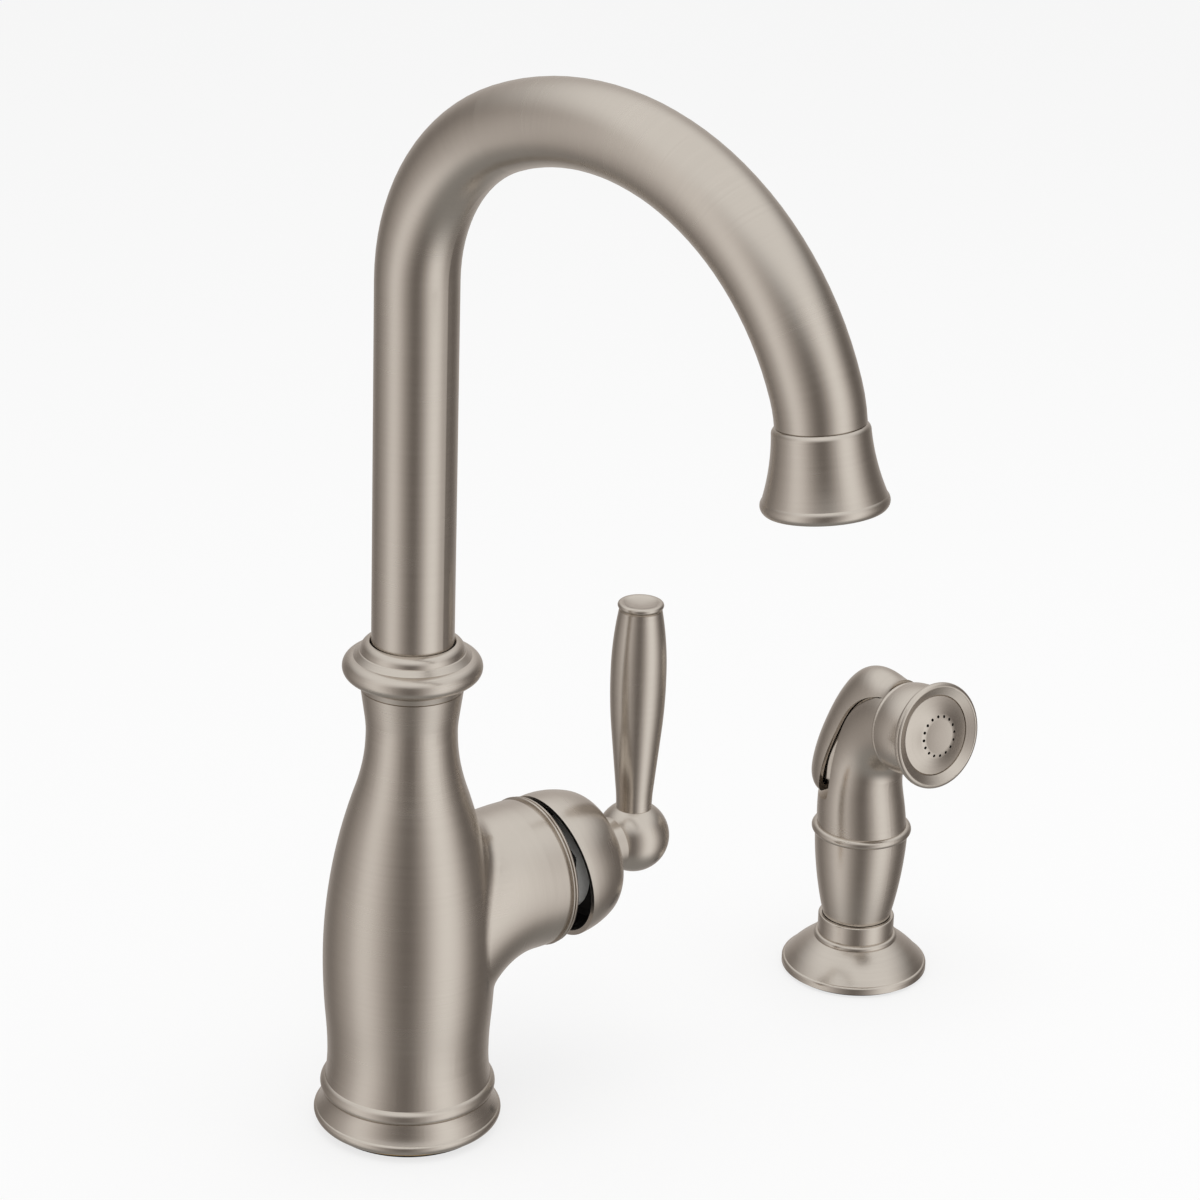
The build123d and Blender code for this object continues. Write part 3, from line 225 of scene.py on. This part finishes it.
class Bench:
    """Builds one shader tree."""

    def __init__(self, tree):
        self.tree = tree
        tree.nodes.clear()

    def node(self, kind, settings=None, **inputs):
        made = self.tree.nodes.new(kind)
        for key, value in (settings or {}).items():
            setattr(made, key, value)
        for key, value in inputs.items():
            self.feed(made.inputs[key.replace("_", " ")], value)
        return made

    def feed(self, socket, value):
        if isinstance(value, Wire):
            self.tree.links.new(value.socket, socket)
        elif isinstance(value, bpy.types.NodeSocket):
            self.tree.links.new(value, socket)
        else:
            socket.default_value = value

    def math(self, operation, *values):
        made = self.node("ShaderNodeMath", {"operation": operation})
        for socket, value in zip(made.inputs, values):
            self.feed(socket, value)
        return Wire(self, made.outputs[0])

    def vector(self, operation, *values):
        made = self.node("ShaderNodeVectorMath", {"operation": operation})
        for socket, value in zip(made.inputs, values):
            self.feed(socket, value)
        return made.outputs["Value" if operation in ("DOT_PRODUCT", "LENGTH") else "Vector"]

    def scaled(self, vector, factor):
        made = self.node("ShaderNodeVectorMath", {"operation": "SCALE"}, Scale=factor)
        self.feed(made.inputs[0], vector)
        return made.outputs["Vector"]

    def place(self):
        return self.node("ShaderNodeTexCoord").outputs["Object"]

    def split(self, vector):
        made = self.node("ShaderNodeSeparateXYZ", Vector=vector)
        return [Wire(self, made.outputs[k]) for k in "XYZ"]

    def join(self, x):
        return self.node("ShaderNodeCombineXYZ", X=x).outputs[0]

    def noise(self, vector, scale=1.0, detail=2.0, roughness=0.5):
        made = self.node("ShaderNodeTexNoise", {"noise_dimensions": "3D"}, Vector=vector, Scale=scale,
                         Detail=detail, Roughness=roughness)
        return Wire(self, made.outputs["Fac"])

    def blend(self, factor, first, second):
        """Colour between two colours."""
        made = self.node("ShaderNodeMix", {"data_type": "RGBA"})
        self.feed(made.inputs["Factor"], factor)
        self.feed(made.inputs[6], first)
        self.feed(made.inputs[7], second)
        return made.outputs[2]

    def bump(self, height, distance, strength=1.0):
        return self.node("ShaderNodeBump", Height=height, Distance=distance, Strength=strength).outputs[0]

    def shader(self, colour, roughness, normal=None, **fixed):
        made = self.node("ShaderNodeBsdfPrincipled", **fixed)
        self.feed(made.inputs["Base Color"], colour)
        self.feed(made.inputs["Roughness"], roughness)
        if normal is not None:
            self.feed(made.inputs["Normal"], normal)
        self.node("ShaderNodeOutputMaterial", Surface=made.outputs[0])
        return made


def rgba(colour, gain=1.0):
    return (*[min(1.0, c * gain) for c in colour], 1.0)


def new_material(name):
    made = bpy.data.materials.new(name)
    made.use_nodes = True
    return made, Bench(made.node_tree)


# ---------------------------------------------------------------- how far along a turned form a point is

def along_line(origin, way):
    """Distance along a straight axis."""
    def measure(bench, place):
        return Wire(bench, bench.vector("DOT_PRODUCT", bench.vector("SUBTRACT", place, origin), way))
    return measure


def along_spout(bench, place):
    """Distance along the spout's bent centreline."""
    out = Wire(bench, bench.vector("DOT_PRODUCT", place, SPOUT_WAY))
    up = bench.split(place)[2]
    first, second, third = BEND_R
    turn = BEND_TURN[0]
    late = turn + BEND_TURN[1]
    centre_out = first + (second - first) * math.cos(turn)
    centre_up = COLUMN_TOP + (first - second) * math.sin(turn)
    last_out = centre_out + (third - second) * math.cos(late)
    last_up = centre_up + (second - third) * math.sin(late)
    beyond = out.step(*ARCH_FROM)
    column = up.math("MINIMUM", COLUMN_TOP)
    bend = bench.math("ARCTAN2", up - COLUMN_TOP, first - out).clamp(0, turn) * first
    far = bench.math("ARCTAN2", up - centre_up, centre_out - out).clamp(turn, late) - turn
    end = bench.math("ARCTAN2", up - last_up, last_out - out).clamp(late, late + BEND_TURN[2]) - late
    arch = COLUMN_TOP + turn * first + end * third
    return (1 - beyond) * (column + bend) + beyond * arch + far * second


def along_grip(bench, place):
    """Up the sprayer's shaft, and round its bend to the head."""
    _, y, z = bench.split(place)
    centre_y, centre_z, radius = GRIP_BEND
    bend = bench.math("ARCTAN2", z - centre_z, y - centre_y).clamp(0, math.pi / 2)
    return z.math("MINIMUM", centre_z) + bend * radius


def along_body(bench, place):
    """Up the vase, and outward along the hub that grows from its side."""
    x, _, z = bench.split(place)
    hub = x.step(*HUB_BLEND)
    return z * (1 - hub) + x * hub


# ---------------------------------------------------------------- finishes

def shade_in_cavity(origin, way, radius, flare, start, end):
    """Mask of painted shade inside a cavity on an axis: narrower by flare times the square of the depth,
    with soft ends.
    """
    def mask(bench, place):
        offset = bench.vector("SUBTRACT", place, origin)
        depth = Wire(bench, bench.vector("DOT_PRODUCT", offset, way))
        across = Wire(bench, bench.vector("LENGTH", bench.vector("CROSS_PRODUCT", offset, way)))
        wall = radius - (depth - start) * (depth - start) * flare
        inside = 1 - across.step(wall - SOFT_EDGE, wall + SOFT_EDGE)
        return inside * depth.step(start - SOFT_EDGE, start) * (1 - depth.step(end, end + SOFT_EDGE))
    return mask


def brushed_nickel(name, measure, painted_shade=None):
    """Satin plate with fine brush marks across the measured direction, and painted shade, near black, inside
    a cavity.
    """
    finish = bpy.context.scene.faucet_finish
    made, bench = new_material(name)
    place = bench.place()
    run = measure(bench, place)
    slow = bench.scaled(place, 26.0)

    def streaks(pitch, detail):
        fast = bench.join(run / pitch)
        return bench.noise(bench.vector("ADD", slow, fast), detail=detail)

    fine = streaks(finish.brush_pitch, 2.0)
    broad = streaks(finish.brush_pitch * 5, 3.0)
    cloud = bench.noise(place, scale=38.0, detail=2.0)
    tone = (0.5 + (fine - 0.5) * 0.8 + (broad - 0.5) * 0.5 + (cloud - 0.5) * 0.5).clamp(0, 1)
    colour = bench.blend(tone, rgba(finish.nickel, 0.95), rgba(finish.nickel, 1.05))
    rough = finish.nickel_roughness + (broad - 0.5) * 0.06 + (cloud - 0.5) * 0.05
    marks = bench.bump(fine, finish.brush_depth, 0.5)
    if painted_shade is None:
        bench.shader(colour, rough, marks, Metallic=1.0)
        return made
    # painted shade: inside the cavity the plate is made near black (the dark plastic at half), duller and
    # not metallic, where shade falls
    shade_mask = painted_shade(bench, place)
    colour = bench.blend(shade_mask, colour, rgba(finish.dark_plastic, 0.5))
    metal = bench.shader(colour, rough + shade_mask * 0.4, marks)
    bench.feed(metal.inputs["Metallic"], 1 - shade_mask)
    return made


def turned_metal(name, colour, roughness):
    """Lathe-turned metal with fine tool rings round the vertical."""
    ring_pitch = 0.4 * MM
    made, bench = new_material(name)
    place = bench.place()
    run = Wire(bench, bench.vector("DOT_PRODUCT", place, UPRIGHT))
    fast = bench.join(run / ring_pitch)
    rings = bench.noise(bench.vector("ADD", bench.scaled(place, 15.0), fast), detail=2.0)
    stain = bench.noise(place, scale=90.0, detail=4.0)
    tone = bench.blend((stain * 0.7 + rings * 0.3).clamp(0, 1), rgba(colour, 0.78), rgba(colour, 1.1))
    rough = roughness + (stain - 0.5) * 0.16
    bench.shader(tone, rough, bench.bump(rings, 0.00003, 0.5), Metallic=1.0)
    return made


def moulded_plastic(name, colour, roughness):
    """Moulded plastic: a fine spark-eroded grain and slight flow shading."""
    made, bench = new_material(name)
    place = bench.place()
    flow = bench.noise(place, scale=55.0, detail=3.0)
    speck = bench.noise(place, scale=2600.0, detail=2.0)
    tone = bench.blend(flow, rgba(colour, 0.88), rgba(colour, 1.12))
    rough = roughness + (flow - 0.5) * 0.12 + (speck - 0.5) * 0.10
    bench.shader(tone, rough, bench.bump(speck, 0.00003, 0.6))
    return made


def soft_rubber(name):
    """Dull rubber with a faint bloom."""
    made, bench = new_material(name)
    place = bench.place()
    bloom = bench.noise(place, scale=120.0, detail=5.0, roughness=0.65)
    tone = bench.blend(bloom.step(0.45, 0.8), (0.012, 0.012, 0.012, 1), (0.045, 0.044, 0.042, 1))
    bench.shader(tone, 0.62 + (bloom - 0.5) * 0.3, bench.bump(bloom, 0.00006, 0.5))
    return made


def lapped_ceramic(name):
    """Near-white alumina, ground flat."""
    made, bench = new_material(name)
    place = bench.place()
    lap = bench.noise(place, scale=1500.0, detail=2.0)
    haze = bench.noise(place, scale=70.0, detail=3.0)
    tone = bench.blend(haze, (0.66, 0.65, 0.62, 1), (0.82, 0.81, 0.78, 1))
    bench.shader(tone, 0.16 + (haze - 0.5) * 0.12, bench.bump(lap, 0.00001, 0.3), Coat_Weight=0.3)
    return made


def finish_node(name, material):
    NODES[name].data.materials.clear()
    NODES[name].data.materials.append(material)


def finish_nodes(names, material):
    for name in names:
        finish_node(name, material)


def smooth(piece, degrees=35.0):
    select_only(piece)
    bpy.ops.object.shade_smooth_by_angle(angle=math.radians(degrees))


# ---------------------------------------------------------------- modelling helpers

def select_only(piece):
    if bpy.context.mode != "OBJECT":
        bpy.ops.object.mode_set(mode="OBJECT")
    bpy.ops.object.select_all(action="DESELECT")
    piece.select_set(True)
    bpy.context.view_layer.objects.active = piece


def settle(piece):
    """Put the piece's place and size into its mesh."""
    select_only(piece)
    bpy.ops.object.transform_apply(location=True, rotation=True, scale=True)


def copy_of_node(name, new_name):
    """A merged copy of a CAD node, to be reshaped in edit mode."""
    piece = NODES[name].copy()
    piece.data = NODES[name].data.copy()
    piece.parent = None
    piece.name = piece.data.name = new_name
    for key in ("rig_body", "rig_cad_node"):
        if key in piece:
            del piece[key]
    bpy.context.scene.collection.objects.link(piece)
    select_only(piece)
    bpy.ops.object.mode_set(mode="EDIT")
    bpy.ops.mesh.select_all(action="SELECT")
    bpy.ops.mesh.customdata_custom_splitnormals_clear()
    bpy.ops.mesh.remove_doubles(threshold=MERGE)
    bpy.ops.mesh.select_all(action="DESELECT")
    bpy.ops.object.mode_set(mode="OBJECT")
    return piece


def select_vertices(piece, wanted):
    """Select by place, and go to edit mode."""
    select_only(piece)
    bpy.ops.object.mode_set(mode="EDIT")
    bpy.ops.mesh.select_mode(type="VERT")
    bpy.ops.mesh.select_all(action="DESELECT")
    bpy.ops.object.mode_set(mode="OBJECT")
    for v in piece.data.vertices:
        v.select = wanted(v.co)
    bpy.ops.object.mode_set(mode="EDIT")


def cut_back(piece, centre, radius, depth, below):
    """Draw a shaft's outer wall in to the root of its thread, below a height."""
    def on_wall(co):
        return co.z < below and abs(math.hypot(co.x - centre[0], co.y - centre[1]) - radius) < 0.2 * MM

    select_vertices(piece, on_wall)
    share = (radius - depth) / radius
    bpy.ops.transform.resize(value=(share, share, 1), center_override=(*centre, 0))
    bpy.ops.object.mode_set(mode="OBJECT")


def thread_ridge(name, centre, radius, depth, pitch, low, high):
    """The ridge of a thread: a blunt wedge swept along a helix."""
    bpy.ops.object.select_all(action="DESELECT")
    middle = (radius - depth * 0.6, 0.0, low + pitch)
    bpy.ops.mesh.primitive_plane_add(size=1.0, location=middle, rotation=(math.pi / 2, 0, 0))
    ridge = bpy.context.object
    ridge.name = ridge.data.name = name
    settle(ridge)
    bpy.ops.object.mode_set(mode="EDIT")
    bpy.ops.mesh.select_all(action="SELECT")
    bpy.ops.transform.resize(value=(1.2 * depth, 1, THREAD_FOOT * pitch), center_override=middle)
    select_vertices(ridge, lambda co: co.x > middle[0])
    bpy.ops.transform.resize(value=(1, 1, THREAD_CREST), center_override=middle)
    bpy.ops.object.mode_set(mode="OBJECT")
    screw = ridge.modifiers.new("Thread", "SCREW")
    screw.axis, screw.screw_offset = "Z", pitch
    screw.iterations = int((high - low) / pitch) - 1
    screw.steps = screw.render_steps = THREAD_SIDES
    bpy.ops.object.modifier_apply(modifier="Thread")
    bpy.ops.object.mode_set(mode="EDIT")
    bpy.ops.mesh.select_all(action="SELECT")
    bpy.ops.mesh.remove_doubles(threshold=MERGE)
    bpy.ops.mesh.fill_holes(sides=4)
    bpy.ops.mesh.select_all(action="SELECT")
    bpy.ops.mesh.normals_make_consistent(inside=False)
    bpy.ops.object.mode_set(mode="OBJECT")
    ridge.location = (*centre, 0)
    settle(ridge)
    smooth(ridge, 40)
    return ridge


def give(piece, body, material):
    piece.data.materials.clear()
    piece.data.materials.append(material)
    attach(piece, body)


# ---------------------------------------------------------------- operators

class FAUCET_OT_finish_body(bpy.types.Operator):
    """Brush the base, the vase, its hub and the collar"""
    bl_idname = "faucet.finish_body"
    bl_label = "Finish Body"

    def execute(self, context):
        upright = brushed_nickel("nickel_upright", along_line((0, 0, 0), UPRIGHT))
        finish_nodes(("base_ring", "neck_ring", "spout_collar"), upright)
        start, end, radius = HUB_MOUTH
        # painted shade: the hub's mouth is coloured near black where the cap shades it
        mouth = shade_in_cavity((start, 0, PIVOT[2]), (1, 0, 0), radius, 0, 0, end - start)
        finish_node("faucet_body", brushed_nickel("nickel_body_painted_shade", along_body, mouth))
        return {"FINISHED"}


class FAUCET_OT_finish_spout(bpy.types.Operator):
    """Brush the spout round its bend, and its trumpet mouth"""
    bl_idname = "faucet.finish_spout"
    bl_label = "Finish Spout"

    def execute(self, context):
        turn = sum(BEND_TURN)
        fall = (SPOUT_WAY[0] * math.sin(turn), SPOUT_WAY[1] * math.sin(turn), math.cos(turn))
        finish_node("spout_tube", brushed_nickel("nickel_spout", along_spout))
        finish_node("outlet_bell", brushed_nickel("nickel_mouth", along_line((0, 0, 0), fall)))
        return {"FINISHED"}


class FAUCET_OT_finish_handle(bpy.types.Operator):
    """Brush the dome, the ball and the lever"""
    bl_idname = "faucet.finish_handle"
    bl_label = "Finish Handle"

    def execute(self, context):
        tilted = (math.cos(CAP_TILT), 0, math.sin(CAP_TILT))
        # painted shade: the inside of the dome is coloured near black where shade falls in the gap by the
        # hub
        cavity = shade_in_cavity(PIVOT, tilted, *CAP_CAVITY)
        finish_node("handle_cap", brushed_nickel("nickel_dome_painted_shade", along_line(PIVOT, tilted), cavity))
        finish_node("handle_ball", brushed_nickel("nickel_ball", along_line(PIVOT, tilted)))
        finish_nodes(("lever_grip", "lever_finial"),
                     brushed_nickel("nickel_lever", along_line((LEVER_X, 0, 0), UPRIGHT)))
        return {"FINISHED"}


class FAUCET_OT_finish_sprayer(bpy.types.Operator):
    """Brush the holder, the sprayer and its plated face"""
    bl_idname = "faucet.finish_sprayer"
    bl_label = "Finish Sprayer"

    def execute(self, context):
        upright = brushed_nickel("nickel_holder", along_line((HOLDER_X, 0, 0), UPRIGHT))
        finish_nodes(("spray_holder", "sprayer_base", "waist_ring"), upright)
        finish_nodes(("sprayer_body", "spray_trigger"), brushed_nickel("nickel_grip", along_grip))
        nozzle = brushed_nickel("nickel_nozzle", along_line((HOLDER_X, 0, NOZZLE_Z), NOZZLE_WAY))
        finish_nodes(("head_ring", "spray_bell", "spray_face"), nozzle)
        return {"FINISHED"}


class FAUCET_OT_finish_inside(bpy.types.Operator):
    """Give the hidden and inner pieces their brass, steel, plastic, ceramic and rubber"""
    bl_idname = "faucet.finish_inside"
    bl_label = "Finish Inside"

    def execute(self, context):
        finish = context.scene.faucet_finish
        brass = turned_metal("turned_brass", finish.brass, 0.30)
        finish_nodes(("spout_stub", "hose_coupling", "mounting_shank", "spray_valve_seat"), brass)
        finish_node("cartridge_nut", moulded_plastic("black_oxide", (0.006, 0.006, 0.0065), 0.85))
        steel = turned_metal("bright_steel", (0.62, 0.62, 0.61), 0.20)
        finish_nodes(("stem_pivot_pin", "cartridge_stem", "handle_set_screw", "aerator_screens",
                      "trigger_pin", "valve_plunger", "valve_spring"), steel)
        white = moulded_plastic("white_acetal", (0.74, 0.73, 0.70), 0.42)
        finish_nodes(("cartridge_housing", "cartridge_spindle", "lower_spout_bushing",
                      "upper_spout_bushing", "spout_retaining_clip", "aerator_housing", "coupling_clip",
                      "diverter_cage"), white)
        dark = moulded_plastic("dark_nylon", finish.dark_plastic, 0.45)
        finish_nodes(("hose_guide", "diverter_piston"), dark)
        finish_nodes(("fixed_disc", "mixing_disc"), lapped_ceramic("alumina"))
        finish_nodes(("base_gasket", "cartridge_seal", "spout_o_rings", "aerator_washer",
                      "holder_gasket", "coupling_o_ring", "face_washer"), soft_rubber("black_rubber"))
        return {"FINISHED"}


class FAUCET_OT_cut_threads(bpy.types.Operator):
    """Cut the threads of the shank and of the hose guide below the deck"""
    bl_idname = "faucet.cut_threads"
    bl_label = "Cut Threads"

    def execute(self, context):
        threads = context.scene.faucet_threads
        for node, centre, radius, slot, pitch, depth in (
            ("mounting_shank", (0.0, 0.0), SHANK_R, "brass", threads.shank_pitch, threads.shank_depth),
            ("hose_guide", (HOLDER_X, 0.0), GUIDE_R, "dark_plastic", threads.guide_pitch,
             threads.guide_depth),
        ):
            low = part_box(node)[0].z
            material = NODES[node].data.materials[0]
            core = copy_of_node(node, node + "_core")
            cut_back(core, centre, radius, depth, 0.0)
            smooth(core)
            give(core, "body", material)
            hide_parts(node)
            ridge = thread_ridge(node + "_thread", centre, radius, depth, pitch,
                                 low + THREAD_END_GAP, THREAD_TOP)
            give(ridge, "body", material)
        return {"FINISHED"}


class FAUCET_OT_dish_finial(bpy.types.Operator):
    """Hollow the top of the lever's finial into a dish inside its rolled rim"""
    bl_idname = "faucet.dish_finial"
    bl_label = "Dish Finial"

    def execute(self, context):
        low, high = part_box("lever_finial")
        centre = ((low.x + high.x) / 2, 0.0, high.z)
        material = NODES["lever_finial"].data.materials[0]
        finial = copy_of_node("lever_finial", "lever_finial_dished")

        def across(co):
            return math.hypot(co.x - centre[0], co.y)

        select_vertices(finial, lambda co: co.z > high.z - 0.6 * MM and across(co) < DISH_CUT_R)
        bpy.ops.mesh.delete(type="VERT")
        select_vertices(finial, lambda co: co.z > high.z - 0.1 * MM and across(co) < DISH_EDGE_R)
        for share, drop in DISH_RINGS:
            bpy.ops.mesh.extrude_edges_move(TRANSFORM_OT_translate={"value": (0, 0, -drop * MM)})
            bpy.ops.transform.resize(value=(share, share, 1), center_override=centre)
        bpy.ops.mesh.edge_face_add()
        bpy.ops.mesh.select_all(action="SELECT")
        bpy.ops.mesh.normals_make_consistent(inside=False)
        bpy.ops.object.mode_set(mode="OBJECT")
        smooth(finial, 40)
        give(finial, "handle", material)
        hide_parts("lever_finial")
        return {"FINISHED"}


class FAUCET_OT_add_jet_former(bpy.types.Operator):
    """Add the rubber plate behind the sprayer's face, with a nub in each jet"""
    bl_idname = "faucet.add_jet_former"
    bl_label = "Add Jet Former"

    def execute(self, context):
        bpy.ops.object.select_all(action="DESELECT")
        bpy.ops.mesh.primitive_cylinder_add(vertices=48, radius=FORMER_R, depth=FORMER_THICK,
                                            location=(0, 0, FORMER_AT))
        plate = context.object
        plate.name = plate.data.name = "jet_former"
        parts = [plate]
        for i in range(JETS):
            turn = 2 * math.pi * i / JETS
            spot = (JET_PITCH_R * math.cos(turn), JET_PITCH_R * math.sin(turn), NUB_AT)
            bpy.ops.mesh.primitive_cone_add(vertices=10, radius1=NUB_R[0], radius2=NUB_R[1],
                                            depth=NUB_LENGTH, location=spot)
            parts.append(context.object)
        for part in parts:
            part.select_set(True)
        context.view_layer.objects.active = plate
        bpy.ops.object.join()
        rounding = plate.modifiers.new("Rounding", "BEVEL")
        rounding.width, rounding.segments = FORMER_ROUNDING, 2
        bpy.ops.object.modifier_apply(modifier="Rounding")
        settle(plate)
        plate.matrix_world = Matrix.Translation((HOLDER_X, 0, NOZZLE_Z)) @ Matrix.Rotation(
            math.pi / 2 - NOZZLE_TILT, 4, "X")
        settle(plate)
        smooth(plate, 40)
        give(plate, "sprayer", soft_rubber("jet_rubber"))
        return {"FINISHED"}


class FAUCET_OT_build_stage(bpy.types.Operator):
    """Set up the deck, the studio light and the camera"""
    bl_idname = "faucet.build_stage"
    bl_label = "Build Stage"

    def execute(self, context):
        lay_floor()
        light_studio(context.scene.faucet_studio)
        set_camera(context.scene.faucet_studio)
        context.scene.view_settings.view_transform = "Standard"
        return {"FINISHED"}


# ---------------------------------------------------------------- stage

# The studio as the metal sees it: azimuth from the front in degrees, brightness. Two tall soft boxes
# stand left and right of the camera, with darker room between and behind them.
ROOM = ((-180, 0.30), (-165, 0.22), (-150, 0.26), (-120, 0.55), (-102, 0.92), (-85, 0.80), (-70, 0.50),
        (-52, 0.22), (-38, 0.15), (-27, 0.20), (-10, 0.55), (5, 0.98), (25, 1.02), (42, 0.62),
        (58, 0.24), (78, 0.13), (98, 0.22), (118, 0.45), (140, 0.62), (160, 0.50), (180, 0.30))
CEILING = (0.90, 0.885, 0.86, 1)
UNDERSIDE = (0.30, 0.29, 0.275, 1)
DECK_SIZE = 30.0
DECK_LEVEL = -0.2 * MM                # just clear of the gaskets
DECK_GLOW = 0.72                      # share of plain white in the deck as the camera sees it
LAMP_SIZE = 1.4
LAMP_AT = (0.1, -0.3, 1.5)
LAMP_TILT = math.radians(-11)


def lay_floor():
    """White deck that keeps a faint shadow. It is not seen in the metal."""
    bpy.ops.object.select_all(action="DESELECT")
    bpy.ops.mesh.primitive_plane_add(size=DECK_SIZE, location=(0, 0, DECK_LEVEL))
    floor = bpy.context.object
    floor.name = "deck_floor"
    settle(floor)
    made, bench = new_material("white_deck")
    matt = bench.node("ShaderNodeBsdfDiffuse", Color=(0.9, 0.9, 0.9, 1)).outputs[0]
    glow = bench.node("ShaderNodeEmission", Color=(1, 1, 1, 1), Strength=1.0).outputs[0]
    seen = bench.node("ShaderNodeLightPath").outputs["Is Camera Ray"]
    share = bench.math("MULTIPLY", seen, DECK_GLOW)
    mixed = bench.node("ShaderNodeMixShader", Fac=share)
    bench.feed(mixed.inputs[1], matt)
    bench.feed(mixed.inputs[2], glow)
    bench.node("ShaderNodeOutputMaterial", Surface=mixed.outputs[0])
    floor.data.materials.append(made)
    floor.visible_glossy = False


def light_studio(studio):
    world = bpy.data.worlds.new("studio")
    bpy.context.scene.world = world
    world.use_nodes = True
    bench = Bench(world.node_tree)
    way = bench.node("ShaderNodeTexCoord").outputs["Generated"]
    x, y, z = bench.split(way)
    turn = bench.math("ARCTAN2", x, 0 - y) / (2 * math.pi) + 0.5
    ramp = bench.node("ShaderNodeValToRGB", Fac=turn)
    stops = ramp.color_ramp
    stops.interpolation = "B_SPLINE"
    for i, (azimuth, level) in enumerate(ROOM):
        spot = azimuth / 360 + 0.5
        stop = stops.elements[i] if i < 2 else stops.elements.new(spot)
        stop.position = spot
        stop.color = (level, level * (0.87 + 0.11 * level), level * (0.78 + 0.17 * level), 1)
    above = z.step(0.25, 0.85)
    below = (0 - z).step(0.55, 0.95)
    room = bench.blend(above, ramp.outputs[0], CEILING)
    room = bench.blend(below, room, UNDERSIDE)
    rays = bench.node("ShaderNodeLightPath").outputs
    plain = (studio.fill, studio.fill, studio.fill, 1)
    lit = bench.blend(rays["Is Glossy Ray"], plain, room)
    seen = bench.math("MAXIMUM", rays["Is Camera Ray"], rays["Is Transmission Ray"])
    final = bench.blend(seen, lit, (1, 1, 1, 1))
    back = bench.node("ShaderNodeBackground", Color=final, Strength=1.0)
    bench.node("ShaderNodeOutputWorld", Surface=back.outputs[0])

    lamp = bpy.data.lights.new("overhead", "AREA")
    lamp.shape, lamp.size, lamp.energy = "SQUARE", LAMP_SIZE, studio.key_power
    above_deck = bpy.data.objects.new("overhead", lamp)
    above_deck.location = LAMP_AT
    above_deck.rotation_euler = (LAMP_TILT, 0, 0)
    bpy.context.scene.collection.objects.link(above_deck)
    above_deck.visible_glossy = False


def set_camera(studio):
    a, e, r = studio.azimuth, studio.elevation, studio.roll
    back = Vector((math.sin(a) * math.cos(e), -math.cos(a) * math.cos(e), math.sin(e)))
    level = Vector((math.cos(a), math.sin(a), 0))
    up = back.cross(level)
    right = level * math.cos(r) + up * math.sin(r)
    top = up * math.cos(r) - level * math.sin(r)
    aim = level * studio.aim_right + Vector((0, 0, studio.aim_up))
    camera = bpy.data.objects.new("camera", bpy.data.cameras.new("camera"))
    camera.data.lens, camera.data.sensor_width = studio.lens, 36.0
    camera.data.clip_start, camera.data.clip_end = 0.01, 100.0
    pose = Matrix((right, top, back)).transposed().to_4x4()
    pose.translation = aim + back * studio.distance
    camera.matrix_world = pose
    bpy.context.scene.collection.objects.link(camera)
    bpy.context.scene.camera = camera


# ---------------------------------------------------------------- panel

STEPS = (FAUCET_OT_finish_body, FAUCET_OT_finish_spout, FAUCET_OT_finish_handle, FAUCET_OT_finish_sprayer,
         FAUCET_OT_finish_inside, FAUCET_OT_cut_threads, FAUCET_OT_dish_finial, FAUCET_OT_add_jet_former,
         FAUCET_OT_build_stage)


class FAUCET_PT_panel(bpy.types.Panel):
    """Faucet tools in the sidebar"""
    bl_label = "Faucet"
    bl_idname = "FAUCET_PT_panel"
    bl_space_type = "VIEW_3D"
    bl_region_type = "UI"
    bl_category = "Faucet"

    def draw(self, context):
        for group in ("faucet_finish", "faucet_threads", "faucet_studio"):
            settings = getattr(context.scene, group)
            box = self.layout.box()
            for key in settings.__annotations__:
                box.prop(settings, key)
        for step in STEPS:
            self.layout.operator(step.bl_idname)


GROUPS = {"faucet_finish": FaucetFinish, "faucet_threads": FaucetThreads, "faucet_studio": FaucetStudio}


def register():
    for made in (*GROUPS.values(), *STEPS, FAUCET_PT_panel):
        bpy.utils.register_class(made)
    for key, group in GROUPS.items():
        setattr(bpy.types.Scene, key, bpy.props.PointerProperty(type=group))


def unregister():
    for key in GROUPS:
        delattr(bpy.types.Scene, key)
    for made in (FAUCET_PT_panel, *reversed(STEPS), *GROUPS.values()):
        bpy.utils.unregister_class(made)


def main():
    register()
    for step in STEPS:
        family, call = step.bl_idname.split(".")
        getattr(getattr(bpy.ops, family), call)()


if __name__ == "__main__":
    main()
